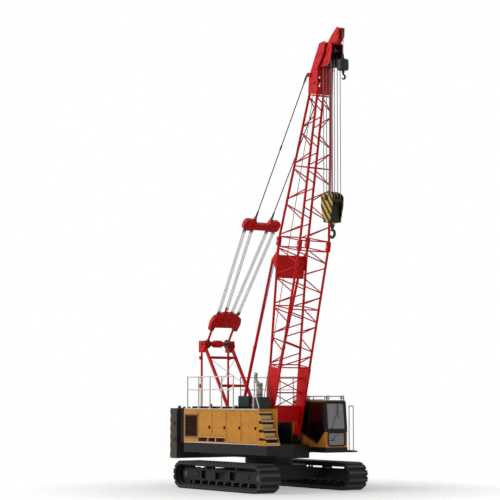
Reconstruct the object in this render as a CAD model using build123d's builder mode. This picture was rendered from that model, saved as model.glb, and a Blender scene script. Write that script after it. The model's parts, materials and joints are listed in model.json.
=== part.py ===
from build123d import *
import math
import os

# Crawler crane with a lattice boom, in millimetres.
# +X points forward, +Y to the machine's left, +Z up.
# The origin is on the ground, on the slewing axis.

os.makedirs("parts", exist_ok=True)

# ---------------------------------------------------------------- sizes
RUN_GAP = 5.0                 # gap between pieces that move past each other
PIN_GAP = 1.0                 # gap round a pin in its bore
SIDES = (("right", -1), ("left", 1))

# Tracks
TRACK_LENGTH = 5300.0
TRACK_HEIGHT = 930.0
TRACK_GAUGE = 3540.0
SHOE_WIDTH = 760.0
SHOE_COUNT = 54
SHOE_DEPTH = 62.0             # shoe plate and lug outside the chain
SHOE_GAP = 40.0
SHOE_BEVEL = 16.0
CHAIN_DEPTH = 58.0
CHAIN_OUTER = TRACK_HEIGHT / 2 - SHOE_DEPTH
CHAIN_INNER = CHAIN_OUTER - CHAIN_DEPTH
WHEEL_SPACING = TRACK_LENGTH - TRACK_HEIGHT

# Side frames
FRAME_WIDTH = 340.0
FRAME_PLATE = 30.0
FRAME_OVERHANG = 170.0        # how far the fork reaches past a wheel's axle
BOX_CLEARANCE = 40.0          # between the box and an end wheel
ROLLER_RADIUS = 84.0
ROLLER_COUNT = 8
ROLLER_SPAN = 3300.0
ROLLER_LUG = 110.0
TOP_ROLLER_RADIUS = 55.0
TOP_ROLLER_X = 900.0
ROLLER_CLEARANCE = 9.0        # between a roller and the frame's box
ROLLER_Z = TRACK_HEIGHT / 2 - CHAIN_INNER + ROLLER_RADIUS
TOP_ROLLER_Z = TRACK_HEIGHT / 2 + CHAIN_INNER - TOP_ROLLER_RADIUS
FRAME_BOTTOM = ROLLER_Z + ROLLER_RADIUS + ROLLER_CLEARANCE
FRAME_TOP = TOP_ROLLER_Z - TOP_ROLLER_RADIUS - ROLLER_CLEARANCE
WHEEL_WIDTH = 200.0
SPROCKET_TEETH = 13
TOOTH_DEPTH = 45.0
AXLE_RADIUS = 70.0
DRIVE_RADIUS = 235.0
DRIVE_LENGTH = 230.0
POCKET_DEPTH = 110.0
# pockets in the outer face of a side frame: x, length, rim below, rim above
FRAME_POCKETS = (
    (-1040.0, 300.0, 20.0, 50.0),
    (-60.0, 560.0, 50.0, 100.0),
    (710.0, 360.0, 20.0, 50.0),
)

# Carbody
CARBODY_LENGTH = 1900.0
CARBODY_WIDTH = 2000.0
RING_RADIUS = 800.0
RING_BORE = 620.0
RING_HEIGHT = 120.0
RING_Z = TRACK_HEIGHT
PEDESTAL_HEIGHT = 100.0       # round step between the carbody and the slewing ring
CARBODY_TOP = RING_Z - PEDESTAL_HEIGHT
CARBODY_HEIGHT = 490.0
CARBODY_CORNER = 240.0
BEAM_X = 740.0
BEAM_WIDTH = 400.0
BEAM_HEIGHT = 320.0
BEAM_TOP = FRAME_TOP + 10.0
LASHING_EYE_Y = 1200.0
LUG_HOLE_RADIUS = 35.0
LUG_RADIUS = 85.0
LUG_THICKNESS = 40.0

# Upper frame
DECK_TOP = 1500.0
DECK_PLATE = 30.0
DECK_REAR = -3000.0
DECK_FRONT = 2020.0
UPPER_HALF_WIDTH = 1500.0
SPINE_REAR = -3450.0
SPINE_FRONT = 1340.0
SPINE_HALF_WIDTH = 700.0
SPINE_BOTTOM = RING_Z + RING_HEIGHT + RUN_GAP
SKIRT_BOTTOM = 1190.0
SKIRT_THICKNESS = 80.0
STAIR_BASE_INNER = -460.0     # inner face of the deck under the stair
DECK_BEAMS = 4                # cross beams under each side of the deck
BAY_HALF_WIDTH = 720.0        # clear half-width between the side housings

# Boom
BOOM_ANGLE = 79.0
FOOT_X = 750.0
FOOT_Z = 1700.0
FOOT_RADIUS = 130.0
FOOT_PIN_RADIUS = 45.0
BOOM_HALF_WIDTH = 635.0
FOOT_PLATE = 60.0
BRACKET_PLATE = 35.0
BRACKET_RADIUS = 150.0
FOOT_DEPTH = 320.0            # outer depth of the section at the foot
JOINT_DEPTH = 1260.0          # at the joint between the two sections
HEAD_DEPTH = 500.0
HEAD_HALF_WIDTH = 325.0
JOINT_ALONG = 6540.0          # where the two sections of the boom meet
CONNECTOR_LENGTH = 120.0      # connector at a chord's end
CONNECTOR_RADIUS = 58.0
BASE_END = JOINT_ALONG - CONNECTOR_LENGTH
TIP_START = JOINT_ALONG + CONNECTOR_LENGTH
TIP_END = 11500.0
PLATE_END = 2400.0            # end of the solid side plates
CHORD_RADIUS = 42.0
LACING_RADIUS = 21.0
BASE_BAYS = 8
TIP_BAYS = 8
BAY_MARGIN = 0.15             # share of a bay left clear at each end of its lacing bar
END_BAR = 25.0                # from a section's end to its cross bar


# ---------------------------------------------------------------- helpers
def side_plane(y):
    """Plane seen from the machine's right, at y, that extrudes towards the right."""
    return Plane.XZ.offset(-y)


def spin_plane(x, z, y):
    """Plane for round pieces on an axis along Y through (x, z), extruding to the right."""
    return Plane(origin=(x, y, z), x_dir=(1, 0, 0), z_dir=(0, -1, 0))


def bar(start, end, radius):
    """Round bar between two points, not yet joined to anything."""
    start, end = Vector(*start), Vector(*end)
    with BuildPart() as piece:
        with BuildSketch(Plane(origin=start, z_dir=end - start)):
            Circle(radius)
        extrude(amount=(end - start).length)
    return piece.part


def beam(start, end, width, height):
    """Rectangular bar between two points at one y, width along Y."""
    start, end = Vector(*start), Vector(*end)
    with BuildPart() as piece:
        with BuildSketch(Plane(origin=start, x_dir=(0, 1, 0), z_dir=end - start)):
            Rectangle(width, height)
        extrude(amount=(end - start).length)
    return piece.part


BOOM_ALONG = Vector(math.cos(math.radians(BOOM_ANGLE)), 0, math.sin(math.radians(BOOM_ANGLE)))
BOOM_BACK = Vector(-BOOM_ALONG.Z, 0, BOOM_ALONG.X)
BOOM_FOOT = Vector(FOOT_X, 0, FOOT_Z)


def boom_point(along, back, side=0.0):
    """Place of a point given along the boom, towards its back, and to the left."""
    return BOOM_FOOT + BOOM_ALONG * along + BOOM_BACK * back + Vector(0, side, 0)


def boom_plane(side):
    """Plane at y = side whose x runs along the boom and y towards its back."""
    return Plane(origin=boom_point(0, 0, side), x_dir=BOOM_ALONG, z_dir=(0, -1, 0))


def boom_cut(along):
    """Plane straight across the boom, facing its head."""
    return Plane(origin=boom_point(along, 0), x_dir=(0, 1, 0), z_dir=BOOM_ALONG)


def between(low, high, share):
    """Value at a share of the way from low to high."""
    return low + (high - low) * share


# ---------------------------------------------------------------- tracks
def loop_point(run, radius):
    """Point of a track's loop: run along the chain, radius out of its middle line."""
    half, arc = WHEEL_SPACING / 2, math.pi * CHAIN_OUTER
    middle = TRACK_HEIGHT / 2
    if run < 2 * half:
        return (run - half, middle - radius)
    run -= 2 * half
    if run < arc:
        turn = run / CHAIN_OUTER - math.pi / 2
        return (half + radius * math.cos(turn), middle + radius * math.sin(turn))
    run -= arc
    if run < 2 * half:
        return (half - run, middle + radius)
    turn = (run - 2 * half) / CHAIN_OUTER + math.pi / 2
    return (radius * math.cos(turn) - half, middle + radius * math.sin(turn))


def shoe_outline():
    """Outer outline of a track: one trapezium for each shoe."""
    pitch = (2 * WHEEL_SPACING + 2 * math.pi * CHAIN_OUTER) / SHOE_COUNT
    points = []
    for shoe in range(SHOE_COUNT):
        start = shoe * pitch + SHOE_GAP / 2
        end = (shoe + 1) * pitch - SHOE_GAP / 2
        points += [
            loop_point(start, CHAIN_OUTER),
            loop_point(start + SHOE_BEVEL, TRACK_HEIGHT / 2),
            loop_point(end - SHOE_BEVEL, TRACK_HEIGHT / 2),
            loop_point(end, CHAIN_OUTER),
        ]
    return points


with BuildPart() as tracks:
    for side, sign in SIDES:
        with BuildSketch(side_plane(sign * TRACK_GAUGE / 2 + SHOE_WIDTH / 2)):
            with BuildLine():
                Polyline(*shoe_outline(), close=True)
            make_face()
            with Locations((0, TRACK_HEIGHT / 2)):
                SlotCenterToCenter(WHEEL_SPACING, 2 * CHAIN_INNER, mode=Mode.SUBTRACT)
        extrude(amount=SHOE_WIDTH)
tracks.part.label = "tracks"
export_step(tracks.part, "parts/tracks.step")

# ---------------------------------------------------------------- side frames
ROLLER_STEP = ROLLER_SPAN / (ROLLER_COUNT - 1)
BOX_LENGTH = WHEEL_SPACING - 2 * CHAIN_INNER - 2 * BOX_CLEARANCE
PLATE_GAP = FRAME_WIDTH - 2 * FRAME_PLATE

with BuildPart() as side_frames:
    for side, sign in SIDES:
        middle = sign * TRACK_GAUGE / 2
        for face in (middle + FRAME_WIDTH / 2, middle - PLATE_GAP / 2):
            with BuildSketch(side_plane(face)):
                with Locations((0, (FRAME_BOTTOM + FRAME_TOP) / 2)):
                    SlotCenterToCenter(
                        WHEEL_SPACING + 2 * FRAME_OVERHANG - (FRAME_TOP - FRAME_BOTTOM),
                        FRAME_TOP - FRAME_BOTTOM,
                    )
                with Locations((0, (ROLLER_Z + FRAME_BOTTOM) / 2)):
                    with GridLocations(ROLLER_STEP, 0, ROLLER_COUNT, 1):
                        Rectangle(ROLLER_LUG, FRAME_BOTTOM - ROLLER_Z + ROLLER_LUG / 2)
                with Locations((0, (TOP_ROLLER_Z + FRAME_TOP) / 2)):
                    with GridLocations(2 * TOP_ROLLER_X, 0, 2, 1):
                        Rectangle(ROLLER_LUG, TOP_ROLLER_Z - FRAME_TOP + TOP_ROLLER_RADIUS)
            extrude(amount=FRAME_PLATE)
        with BuildSketch(side_plane(middle + PLATE_GAP / 2)):
            with Locations((0, (FRAME_BOTTOM + FRAME_TOP) / 2)):
                Rectangle(BOX_LENGTH, FRAME_TOP - FRAME_BOTTOM)
        extrude(amount=PLATE_GAP)
        outer_face = middle + sign * FRAME_WIDTH / 2
        for x, length, rim_below, rim_above in FRAME_POCKETS:
            low, high = FRAME_BOTTOM + rim_below, FRAME_TOP - rim_above
            with BuildSketch(side_plane(outer_face)):
                with Locations((x, (low + high) / 2)):
                    Rectangle(length, high - low)
            extrude(amount=sign * POCKET_DEPTH, mode=Mode.SUBTRACT)
side_frames.part.label = "side_frames"
export_step(side_frames.part, "parts/side_frames.step")

with BuildPart() as rollers:
    for side, sign in SIDES:
        face = sign * TRACK_GAUGE / 2 + PLATE_GAP / 2
        with BuildSketch(side_plane(face)):
            with Locations((0, ROLLER_Z)):
                with GridLocations(ROLLER_STEP, 0, ROLLER_COUNT, 1):
                    Circle(ROLLER_RADIUS - PIN_GAP)
            with Locations((0, TOP_ROLLER_Z)):
                with GridLocations(2 * TOP_ROLLER_X, 0, 2, 1):
                    Circle(TOP_ROLLER_RADIUS - PIN_GAP)
        extrude(amount=PLATE_GAP)
rollers.part.label = "track_rollers"
export_step(rollers.part, "parts/track_rollers.step")

with BuildPart() as idlers:
    for side, sign in SIDES:
        middle = sign * TRACK_GAUGE / 2
        with BuildSketch(spin_plane(WHEEL_SPACING / 2, TRACK_HEIGHT / 2, middle + WHEEL_WIDTH / 2)):
            Circle(CHAIN_INNER - PIN_GAP)
        extrude(amount=WHEEL_WIDTH)
        with BuildSketch(spin_plane(WHEEL_SPACING / 2, TRACK_HEIGHT / 2, middle + PLATE_GAP / 2)):
            Circle(AXLE_RADIUS)
        extrude(amount=PLATE_GAP)
idlers.part.label = "idlers"
export_step(idlers.part, "parts/idlers.step")

TOOTH_RADIUS = CHAIN_INNER - PIN_GAP
with BuildPart() as sprockets:
    for side, sign in SIDES:
        middle = sign * TRACK_GAUGE / 2
        with BuildSketch(spin_plane(-WHEEL_SPACING / 2, TRACK_HEIGHT / 2, middle + WHEEL_WIDTH / 2)):
            with BuildLine():
                Polyline(
                    *[
                        (
                            radius * math.cos(2 * math.pi * (tooth + share) / SPROCKET_TEETH),
                            radius * math.sin(2 * math.pi * (tooth + share) / SPROCKET_TEETH),
                        )
                        for tooth in range(SPROCKET_TEETH)
                        for share, radius in (
                            (-0.30, TOOTH_RADIUS - TOOTH_DEPTH),
                            (-0.15, TOOTH_RADIUS),
                            (0.15, TOOTH_RADIUS),
                            (0.30, TOOTH_RADIUS - TOOTH_DEPTH),
                        )
                    ],
                    close=True,
                )
            make_face()
        extrude(amount=WHEEL_WIDTH)
        with BuildSketch(spin_plane(-WHEEL_SPACING / 2, TRACK_HEIGHT / 2, middle + PLATE_GAP / 2)):
            Circle(AXLE_RADIUS)
        extrude(amount=PLATE_GAP)
sprockets.part.label = "sprockets"
export_step(sprockets.part, "parts/sprockets.step")

with BuildPart() as travel_drives:
    for side, sign in SIDES:
        inner_face = sign * (TRACK_GAUGE / 2 - FRAME_WIDTH / 2)
        with BuildSketch(spin_plane(-WHEEL_SPACING / 2, TRACK_HEIGHT / 2, inner_face)):
            Circle(DRIVE_RADIUS)
        extrude(amount=sign * DRIVE_LENGTH)
        with BuildSketch(spin_plane(-WHEEL_SPACING / 2, TRACK_HEIGHT / 2, inner_face)):
            Rectangle(DRIVE_RADIUS, DRIVE_RADIUS)
        extrude(amount=sign * (DRIVE_LENGTH + DRIVE_RADIUS))
travel_drives.part.label = "travel_drives"
export_step(travel_drives.part, "parts/travel_drives.step")

# ---------------------------------------------------------------- carbody
BEAM_REACH = TRACK_GAUGE / 2 - FRAME_WIDTH / 2
with BuildPart() as carbody:
    with BuildSketch(Plane.XY.offset(CARBODY_TOP)):
        RectangleRounded(CARBODY_LENGTH, CARBODY_WIDTH, CARBODY_CORNER)
    extrude(amount=-CARBODY_HEIGHT)
    with BuildSketch(Plane.XY.offset(BEAM_TOP)):
        with GridLocations(2 * BEAM_X, 0, 2, 1):
            Rectangle(BEAM_WIDTH, 2 * BEAM_REACH)
    extrude(amount=-BEAM_HEIGHT)
    with BuildSketch(Plane.XY.offset(CARBODY_TOP)):
        Circle(RING_RADIUS)
        Circle(RING_BORE, mode=Mode.SUBTRACT)
    extrude(amount=PEDESTAL_HEIGHT)
    # lashing eyes stand on the four ends of the cross beams
    for end in (-1, 1):
        with BuildSketch(Plane.YZ.offset(end * BEAM_X - LUG_THICKNESS / 2)):
            with GridLocations(2 * LASHING_EYE_Y, 0, 2, 1):
                with Locations((0, BEAM_TOP + LUG_RADIUS)):
                    Circle(LUG_RADIUS)
                with Locations((0, BEAM_TOP + LUG_RADIUS / 2)):
                    Rectangle(2 * LUG_RADIUS, LUG_RADIUS)
                with Locations((0, BEAM_TOP + LUG_RADIUS)):
                    Circle(LUG_HOLE_RADIUS, mode=Mode.SUBTRACT)
        extrude(amount=LUG_THICKNESS)
carbody.part.label = "carbody"
export_step(carbody.part, "parts/carbody.step")

with BuildPart() as slewing_ring:
    with BuildSketch(Plane.XY.offset(RING_Z)):
        Circle(RING_RADIUS)
        Circle(RING_BORE, mode=Mode.SUBTRACT)
    extrude(amount=RING_HEIGHT)
slewing_ring.part.label = "slewing_ring"
export_step(slewing_ring.part, "parts/slewing_ring.step")

# ---------------------------------------------------------------- upper frame
CAB_REAR = 380.0
CAB_FRONT = 2240.0
CAB_RAKE = 80.0
CAB_INNER = 720.0
CAB_OUTER = 1600.0
CAB_FLOOR = 1420.0
CAB_ROOF = 2950.0
CAB_WALL = 45.0
CAB_BASE_BOTTOM = 1250.0
CATWALK_WIDTH = 430.0
CATWALK_THICKNESS = 50.0
CATWALK_TOP = CAB_BASE_BOTTOM + CATWALK_THICKNESS
HOUSING_TOP = 2690.0
HOUSING_WALL = 40.0
HOUSING_LEFT_FRONT = CAB_REAR - 60.0
HOUSING_RIGHT_FRONT = 1520.0
REAR_BOX_REAR = -3480.0
BRACKET_GAP = 10.0            # each side of a boom foot plate
BRACKET_OUTER = BOOM_HALF_WIDTH + BRACKET_GAP + BRACKET_PLATE
BRACKET_INNER = BOOM_HALF_WIDTH - FOOT_PLATE - BRACKET_GAP

with BuildPart() as slewing_frame:
    # spine over the slewing ring, and the deck with its side skirts
    with BuildSketch(Plane.XY.offset(SPINE_BOTTOM)):
        with Locations(((SPINE_REAR + SPINE_FRONT) / 2, 0)):
            Rectangle(SPINE_FRONT - SPINE_REAR, 2 * SPINE_HALF_WIDTH)
    extrude(amount=DECK_TOP - SPINE_BOTTOM)
    for sign, front in ((-1, DECK_FRONT), (1, HOUSING_LEFT_FRONT)):
        with BuildSketch(Plane.XY.offset(DECK_TOP - DECK_PLATE)):
            with Locations(((DECK_REAR + front) / 2, sign * UPPER_HALF_WIDTH / 2)):
                Rectangle(front - DECK_REAR, UPPER_HALF_WIDTH)
        extrude(amount=DECK_PLATE)
        with BuildSketch(Plane.XY.offset(SKIRT_BOTTOM)):
            with Locations(
                ((DECK_REAR + front) / 2, sign * (UPPER_HALF_WIDTH - SKIRT_THICKNESS / 2))
            ):
                Rectangle(front - DECK_REAR, SKIRT_THICKNESS)
            inner = SKIRT_THICKNESS / 2
            for crossing in range(DECK_BEAMS):
                x = between(DECK_REAR + inner, front - inner, crossing / (DECK_BEAMS - 1))
                with Locations((x, sign * UPPER_HALF_WIDTH / 2)):
                    Rectangle(SKIRT_THICKNESS, UPPER_HALF_WIDTH)
        extrude(amount=DECK_TOP - DECK_PLATE - SKIRT_BOTTOM)
    # the deck's front corner beside the boom's foot is open
    with BuildSketch(Plane.XY.offset(SKIRT_BOTTOM)):
        with Locations(((SPINE_FRONT + DECK_FRONT) / 2, STAIR_BASE_INNER / 2)):
            Rectangle(DECK_FRONT - SPINE_FRONT, -STAIR_BASE_INNER)
    extrude(amount=DECK_TOP - SKIRT_BOTTOM, mode=Mode.SUBTRACT)
    with BuildSketch(Plane.XY.offset(SKIRT_BOTTOM)):
        with Locations(((SPINE_FRONT + DECK_FRONT) / 2, STAIR_BASE_INNER - SKIRT_THICKNESS / 2)):
            Rectangle(DECK_FRONT - SPINE_FRONT, SKIRT_THICKNESS)
    extrude(amount=DECK_TOP - SKIRT_BOTTOM)
    # base that carries the cab, and the catwalk outside it
    with BuildSketch(Plane.XY.offset(CAB_BASE_BOTTOM)):
        with Locations(((CAB_REAR + CAB_FRONT) / 2, (SPINE_HALF_WIDTH + CAB_OUTER) / 2)):
            Rectangle(CAB_FRONT - CAB_REAR, CAB_OUTER - SPINE_HALF_WIDTH)
    extrude(amount=CAB_FLOOR - CAB_BASE_BOTTOM)
    with BuildSketch(Plane.XY.offset(CAB_BASE_BOTTOM)):
        with Locations(((CAB_REAR + CAB_FRONT) / 2, CAB_OUTER + CATWALK_WIDTH / 2)):
            Rectangle(CAB_FRONT - CAB_REAR, CATWALK_WIDTH)
    extrude(amount=CATWALK_THICKNESS)
slewing_frame.part.label = "slewing_frame"
export_step(slewing_frame.part, "parts/slewing_frame.step")

# two plates each side hold the boom's foot between them
with BuildPart() as foot_brackets:
    for side, sign in SIDES:
        for face in (BRACKET_OUTER, BRACKET_INNER):
            with BuildSketch(side_plane(sign * (face - BRACKET_PLATE / 2) + BRACKET_PLATE / 2)):
                with Locations((FOOT_X, FOOT_Z)):
                    Circle(BRACKET_RADIUS)
                with Locations((FOOT_X, (DECK_TOP + FOOT_Z) / 2)):
                    Rectangle(2 * BRACKET_RADIUS, FOOT_Z - DECK_TOP)
                with Locations((FOOT_X, FOOT_Z)):
                    Circle(FOOT_PIN_RADIUS + PIN_GAP / 2, mode=Mode.SUBTRACT)
            extrude(amount=BRACKET_PLATE)
foot_brackets.part.label = "boom_foot_brackets"
export_step(foot_brackets.part, "parts/boom_foot_brackets.step")

FOOT_HEAD_RADIUS = 70.0
FOOT_HEAD_DEPTH = 18.0
with BuildPart() as foot_pins:
    for side, sign in SIDES:
        with BuildSketch(spin_plane(FOOT_X, FOOT_Z, sign * (BRACKET_INNER - BRACKET_PLATE))):
            Circle(FOOT_PIN_RADIUS)
        extrude(amount=-sign * (BRACKET_OUTER - BRACKET_INNER + BRACKET_PLATE))
        with BuildSketch(spin_plane(FOOT_X, FOOT_Z, sign * BRACKET_OUTER)):
            Circle(FOOT_HEAD_RADIUS)
        extrude(amount=-sign * FOOT_HEAD_DEPTH)
foot_pins.part.label = "boom_foot_pins"
export_step(foot_pins.part, "parts/boom_foot_pins.step")

# ---------------------------------------------------------------- counterweight
WEIGHT_REAR = -4070.0
WEIGHT_FRONT = REAR_BOX_REAR
WEIGHT_HALF_WIDTH = 1500.0
WEIGHT_CHAMFER = 160.0
# slabs of the counterweight: name, bottom, top
LOWER_SLAB = 670.0
MIDDLE_SLAB = 540.0
UPPER_SLAB = 530.0
SLAB_TOPS = (HOUSING_TOP - UPPER_SLAB - MIDDLE_SLAB, HOUSING_TOP - UPPER_SLAB, HOUSING_TOP)
WEIGHT_SLABS = (
    ("lower", SLAB_TOPS[0] - LOWER_SLAB, SLAB_TOPS[0]),
    ("middle", SLAB_TOPS[0], SLAB_TOPS[1]),
    ("upper", SLAB_TOPS[1], SLAB_TOPS[2]),
)
REAR_BOX_INSET = 120.0
REAR_BOX_TOP = HOUSING_TOP - 60.0
WEIGHT_GROOVE = 14.0
LIFT_LUG = 90.0
LIFT_LUG_Y = 1200.0
for name, bottom, top in WEIGHT_SLABS:
    with BuildPart() as slab:
        with BuildSketch(Plane.XY.offset(bottom)):
            with BuildLine():
                Polyline(
                    (WEIGHT_FRONT, -WEIGHT_HALF_WIDTH),
                    (WEIGHT_FRONT, WEIGHT_HALF_WIDTH),
                    (WEIGHT_REAR + WEIGHT_CHAMFER, WEIGHT_HALF_WIDTH),
                    (WEIGHT_REAR, WEIGHT_HALF_WIDTH - 2 * WEIGHT_CHAMFER),
                    (WEIGHT_REAR, 2 * WEIGHT_CHAMFER - WEIGHT_HALF_WIDTH),
                    (WEIGHT_REAR + WEIGHT_CHAMFER, -WEIGHT_HALF_WIDTH),
                    close=True,
                )
            make_face()
        extrude(amount=top - bottom)
        chamfer(slab.edges().group_by(Axis.Z)[-1], WEIGHT_GROOVE)
        if name == "upper":
            for side, sign in SIDES:
                with BuildSketch(side_plane(sign * LIFT_LUG_Y + LUG_THICKNESS / 2)):
                    with Locations(((WEIGHT_REAR + WEIGHT_FRONT) / 2, top)):
                        Circle(LIFT_LUG)
                        Rectangle(2 * LIFT_LUG, LIFT_LUG, align=(Align.CENTER, Align.MAX))
                    with Locations(((WEIGHT_REAR + WEIGHT_FRONT) / 2, top + LIFT_LUG / 3)):
                        Circle(LIFT_LUG / 3, mode=Mode.SUBTRACT)
                extrude(amount=LUG_THICKNESS)
    slab.part.label = f"counterweight_{name}"
    export_step(slab.part, f"parts/counterweight_{name}.step")

with BuildPart() as rear_frame:
    with BuildSketch(Plane.XY.offset(DECK_TOP)):
        with Locations(((REAR_BOX_REAR + DECK_REAR) / 2, 0)):
            Rectangle(DECK_REAR - REAR_BOX_REAR, 2 * (WEIGHT_HALF_WIDTH - REAR_BOX_INSET))
    extrude(amount=REAR_BOX_TOP - DECK_TOP)
rear_frame.part.label = "rear_frame"
export_step(rear_frame.part, "parts/rear_frame.step")

# ---------------------------------------------------------------- side housings
GRILLE_REAR = -2910.0
GRILLE_FRONT = -2150.0
GRILLE_BOTTOM = 1730.0
GRILLE_TOP = 2460.0
DOOR_TOP = 2610.0
DOOR_GAP = 6.0
STEP_REAR = -2100.0
STEP_FRONT = -390.0
STEP_BOTTOM = 1550.0
STEP_TOP = 1730.0
STEP_DEPTH = 220.0
# doors of the right housing: name, rear edge, front edge, bottom
RIGHT_DOORS = (
    ("rear", -2060.0, -1220.0, STEP_TOP + 40.0),
    ("middle", -1210.0, -350.0, STEP_TOP + 40.0),
    ("front", -340.0, 530.0, 1560.0),
    ("fore", 540.0, 1465.0, 1560.0),
)
LEFT_DOORS = (("rear", -2060.0, -900.0, 1560.0), ("front", -890.0, 250.0, 1560.0))
HOUSING_DOORS = (
    ("right", -1, HOUSING_RIGHT_FRONT, RIGHT_DOORS),
    ("left", 1, HOUSING_LEFT_FRONT, LEFT_DOORS),
)

for side, sign, front, doors in HOUSING_DOORS:
    outer = sign * UPPER_HALF_WIDTH
    with BuildPart() as housing:
        with BuildSketch(Plane.XY.offset(DECK_TOP)):
            with Locations(
                ((DECK_REAR + front) / 2, sign * (UPPER_HALF_WIDTH + BAY_HALF_WIDTH) / 2)
            ):
                Rectangle(front - DECK_REAR, UPPER_HALF_WIDTH - BAY_HALF_WIDTH)
        extrude(amount=HOUSING_TOP - DECK_TOP)
        with BuildSketch(Plane.XY.offset(DECK_TOP)):
            with Locations(
                ((DECK_REAR + front) / 2, sign * (UPPER_HALF_WIDTH + BAY_HALF_WIDTH) / 2)
            ):
                Rectangle(
                    front - DECK_REAR - 2 * HOUSING_WALL,
                    UPPER_HALF_WIDTH - BAY_HALF_WIDTH - 2 * HOUSING_WALL,
                )
        extrude(amount=HOUSING_TOP - DECK_TOP - HOUSING_WALL, mode=Mode.SUBTRACT)
        with BuildSketch(side_plane(outer)):
            for name, rear_edge, front_edge, bottom in doors:
                with Locations(((rear_edge + front_edge) / 2, (bottom + DOOR_TOP) / 2)):
                    Rectangle(
                        front_edge - rear_edge + DOOR_GAP,
                        DOOR_TOP - bottom + 2 * DOOR_GAP,
                    )
            with Locations(((GRILLE_REAR + GRILLE_FRONT) / 2, (GRILLE_BOTTOM + GRILLE_TOP) / 2)):
                Rectangle(GRILLE_FRONT - GRILLE_REAR, GRILLE_TOP - GRILLE_BOTTOM)
        extrude(amount=sign * HOUSING_WALL, mode=Mode.SUBTRACT)
        if side == "right":
            # foothold let into the side below the two rear doors
            with BuildSketch(side_plane(outer)):
                with Locations(((STEP_REAR + STEP_FRONT) / 2, (STEP_BOTTOM + STEP_TOP) / 2)):
                    Rectangle(
                        STEP_FRONT - STEP_REAR + 2 * HOUSING_WALL,
                        STEP_TOP - STEP_BOTTOM + HOUSING_WALL,
                    )
            extrude(amount=sign * (STEP_DEPTH + HOUSING_WALL))
            with BuildSketch(side_plane(outer)):
                with Locations(((STEP_REAR + STEP_FRONT) / 2, (STEP_BOTTOM + STEP_TOP) / 2)):
                    Rectangle(STEP_FRONT - STEP_REAR, STEP_TOP - STEP_BOTTOM)
            extrude(amount=sign * STEP_DEPTH, mode=Mode.SUBTRACT)
    housing.part.label = f"housing_{side}"
    export_step(housing.part, f"parts/housing_{side}.step")

    for name, rear_edge, front_edge, bottom in doors:
        with BuildPart() as door:
            with BuildSketch(side_plane(outer)):
                with Locations(((rear_edge + front_edge) / 2, (bottom + DOOR_TOP) / 2)):
                    Rectangle(front_edge - rear_edge - DOOR_GAP, DOOR_TOP - bottom)
            extrude(amount=sign * HOUSING_WALL)
        door.part.label = f"door_{side}_{name}"
        export_step(door.part, f"parts/door_{side}_{name}.step")

SLAT_COUNT = 9
SLAT_THICKNESS = 14.0
with BuildPart() as grilles:
    for side, sign in SIDES:
        outer = sign * UPPER_HALF_WIDTH
        with BuildSketch(side_plane(outer)):
            with Locations(((GRILLE_REAR + GRILLE_FRONT) / 2, (GRILLE_BOTTOM + GRILLE_TOP) / 2)):
                Rectangle(GRILLE_FRONT - GRILLE_REAR, GRILLE_TOP - GRILLE_BOTTOM)
                Rectangle(
                    GRILLE_FRONT - GRILLE_REAR - 2 * HOUSING_WALL,
                    GRILLE_TOP - GRILLE_BOTTOM - 2 * HOUSING_WALL,
                    mode=Mode.SUBTRACT,
                )
                with GridLocations(0, (GRILLE_TOP - GRILLE_BOTTOM) / (SLAT_COUNT + 1), 1, SLAT_COUNT):
                    Rectangle(GRILLE_FRONT - GRILLE_REAR, SLAT_THICKNESS)
        extrude(amount=sign * HOUSING_WALL)
grilles.part.label = "side_grilles"
export_step(grilles.part, "parts/side_grilles.step")

ENGINE_LENGTH = 1500.0
ENGINE_WIDTH = 560.0
ENGINE_HEIGHT = 860.0
ENGINE_X = -750.0
with BuildPart() as engine:
    with BuildSketch(Plane.XY.offset(DECK_TOP)):
        with Locations((ENGINE_X, -(BAY_HALF_WIDTH + HOUSING_WALL + ENGINE_WIDTH / 2 + RUN_GAP))):
            Rectangle(ENGINE_LENGTH, ENGINE_WIDTH - STEP_DEPTH)
    extrude(amount=ENGINE_HEIGHT)
engine.part.label = "engine_block"
export_step(engine.part, "parts/engine_block.step")

# stair in front of the right housing, its front edge sloping back to the housing's top
STAIR_INNER = -960.0
STAIR_PLATE = 25.0
STAIR_TOP_FRONT = 1560.0
TREAD_THICKNESS = 35.0
TREAD_STEP = 280.0
TREAD_COUNT = 4
RISER_HEIGHT = 150.0
RISER_SETBACK = 50.0


def stair_front(z):
    """Place along X of the stair's front edge at a height."""
    return between(DECK_FRONT, STAIR_TOP_FRONT, (z - DECK_TOP) / (HOUSING_TOP - DECK_TOP))


with BuildPart() as stair:
    for face in (-UPPER_HALF_WIDTH + STAIR_PLATE, STAIR_INNER):
        with BuildSketch(side_plane(face)):
            with BuildLine():
                Polyline(
                    (HOUSING_RIGHT_FRONT, HOUSING_TOP),
                    (STAIR_TOP_FRONT, HOUSING_TOP),
                    (DECK_FRONT, DECK_TOP),
                    (HOUSING_RIGHT_FRONT, DECK_TOP),
                    close=True,
                )
            make_face()
        extrude(amount=STAIR_PLATE)
    for tread in range(1, TREAD_COUNT + 1):
        top = DECK_TOP + tread * TREAD_STEP
        nose = stair_front(top)
        with BuildSketch(Plane.XY.offset(top - TREAD_THICKNESS)):
            with Locations(((HOUSING_RIGHT_FRONT + nose) / 2, (STAIR_INNER - UPPER_HALF_WIDTH) / 2)):
                Rectangle(nose - HOUSING_RIGHT_FRONT, STAIR_INNER + UPPER_HALF_WIDTH)
        extrude(amount=TREAD_THICKNESS)
        if tread < TREAD_COUNT:
            riser = stair_front(top + TREAD_STEP) - RISER_SETBACK
            with BuildSketch(Plane.XY.offset(top - TREAD_THICKNESS)):
                with Locations((riser, (STAIR_INNER - UPPER_HALF_WIDTH) / 2)):
                    Rectangle(STAIR_PLATE, STAIR_INNER + UPPER_HALF_WIDTH)
            extrude(amount=TREAD_THICKNESS + RISER_HEIGHT)
stair.part.label = "front_stair"
export_step(stair.part, "parts/front_stair.step")

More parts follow.
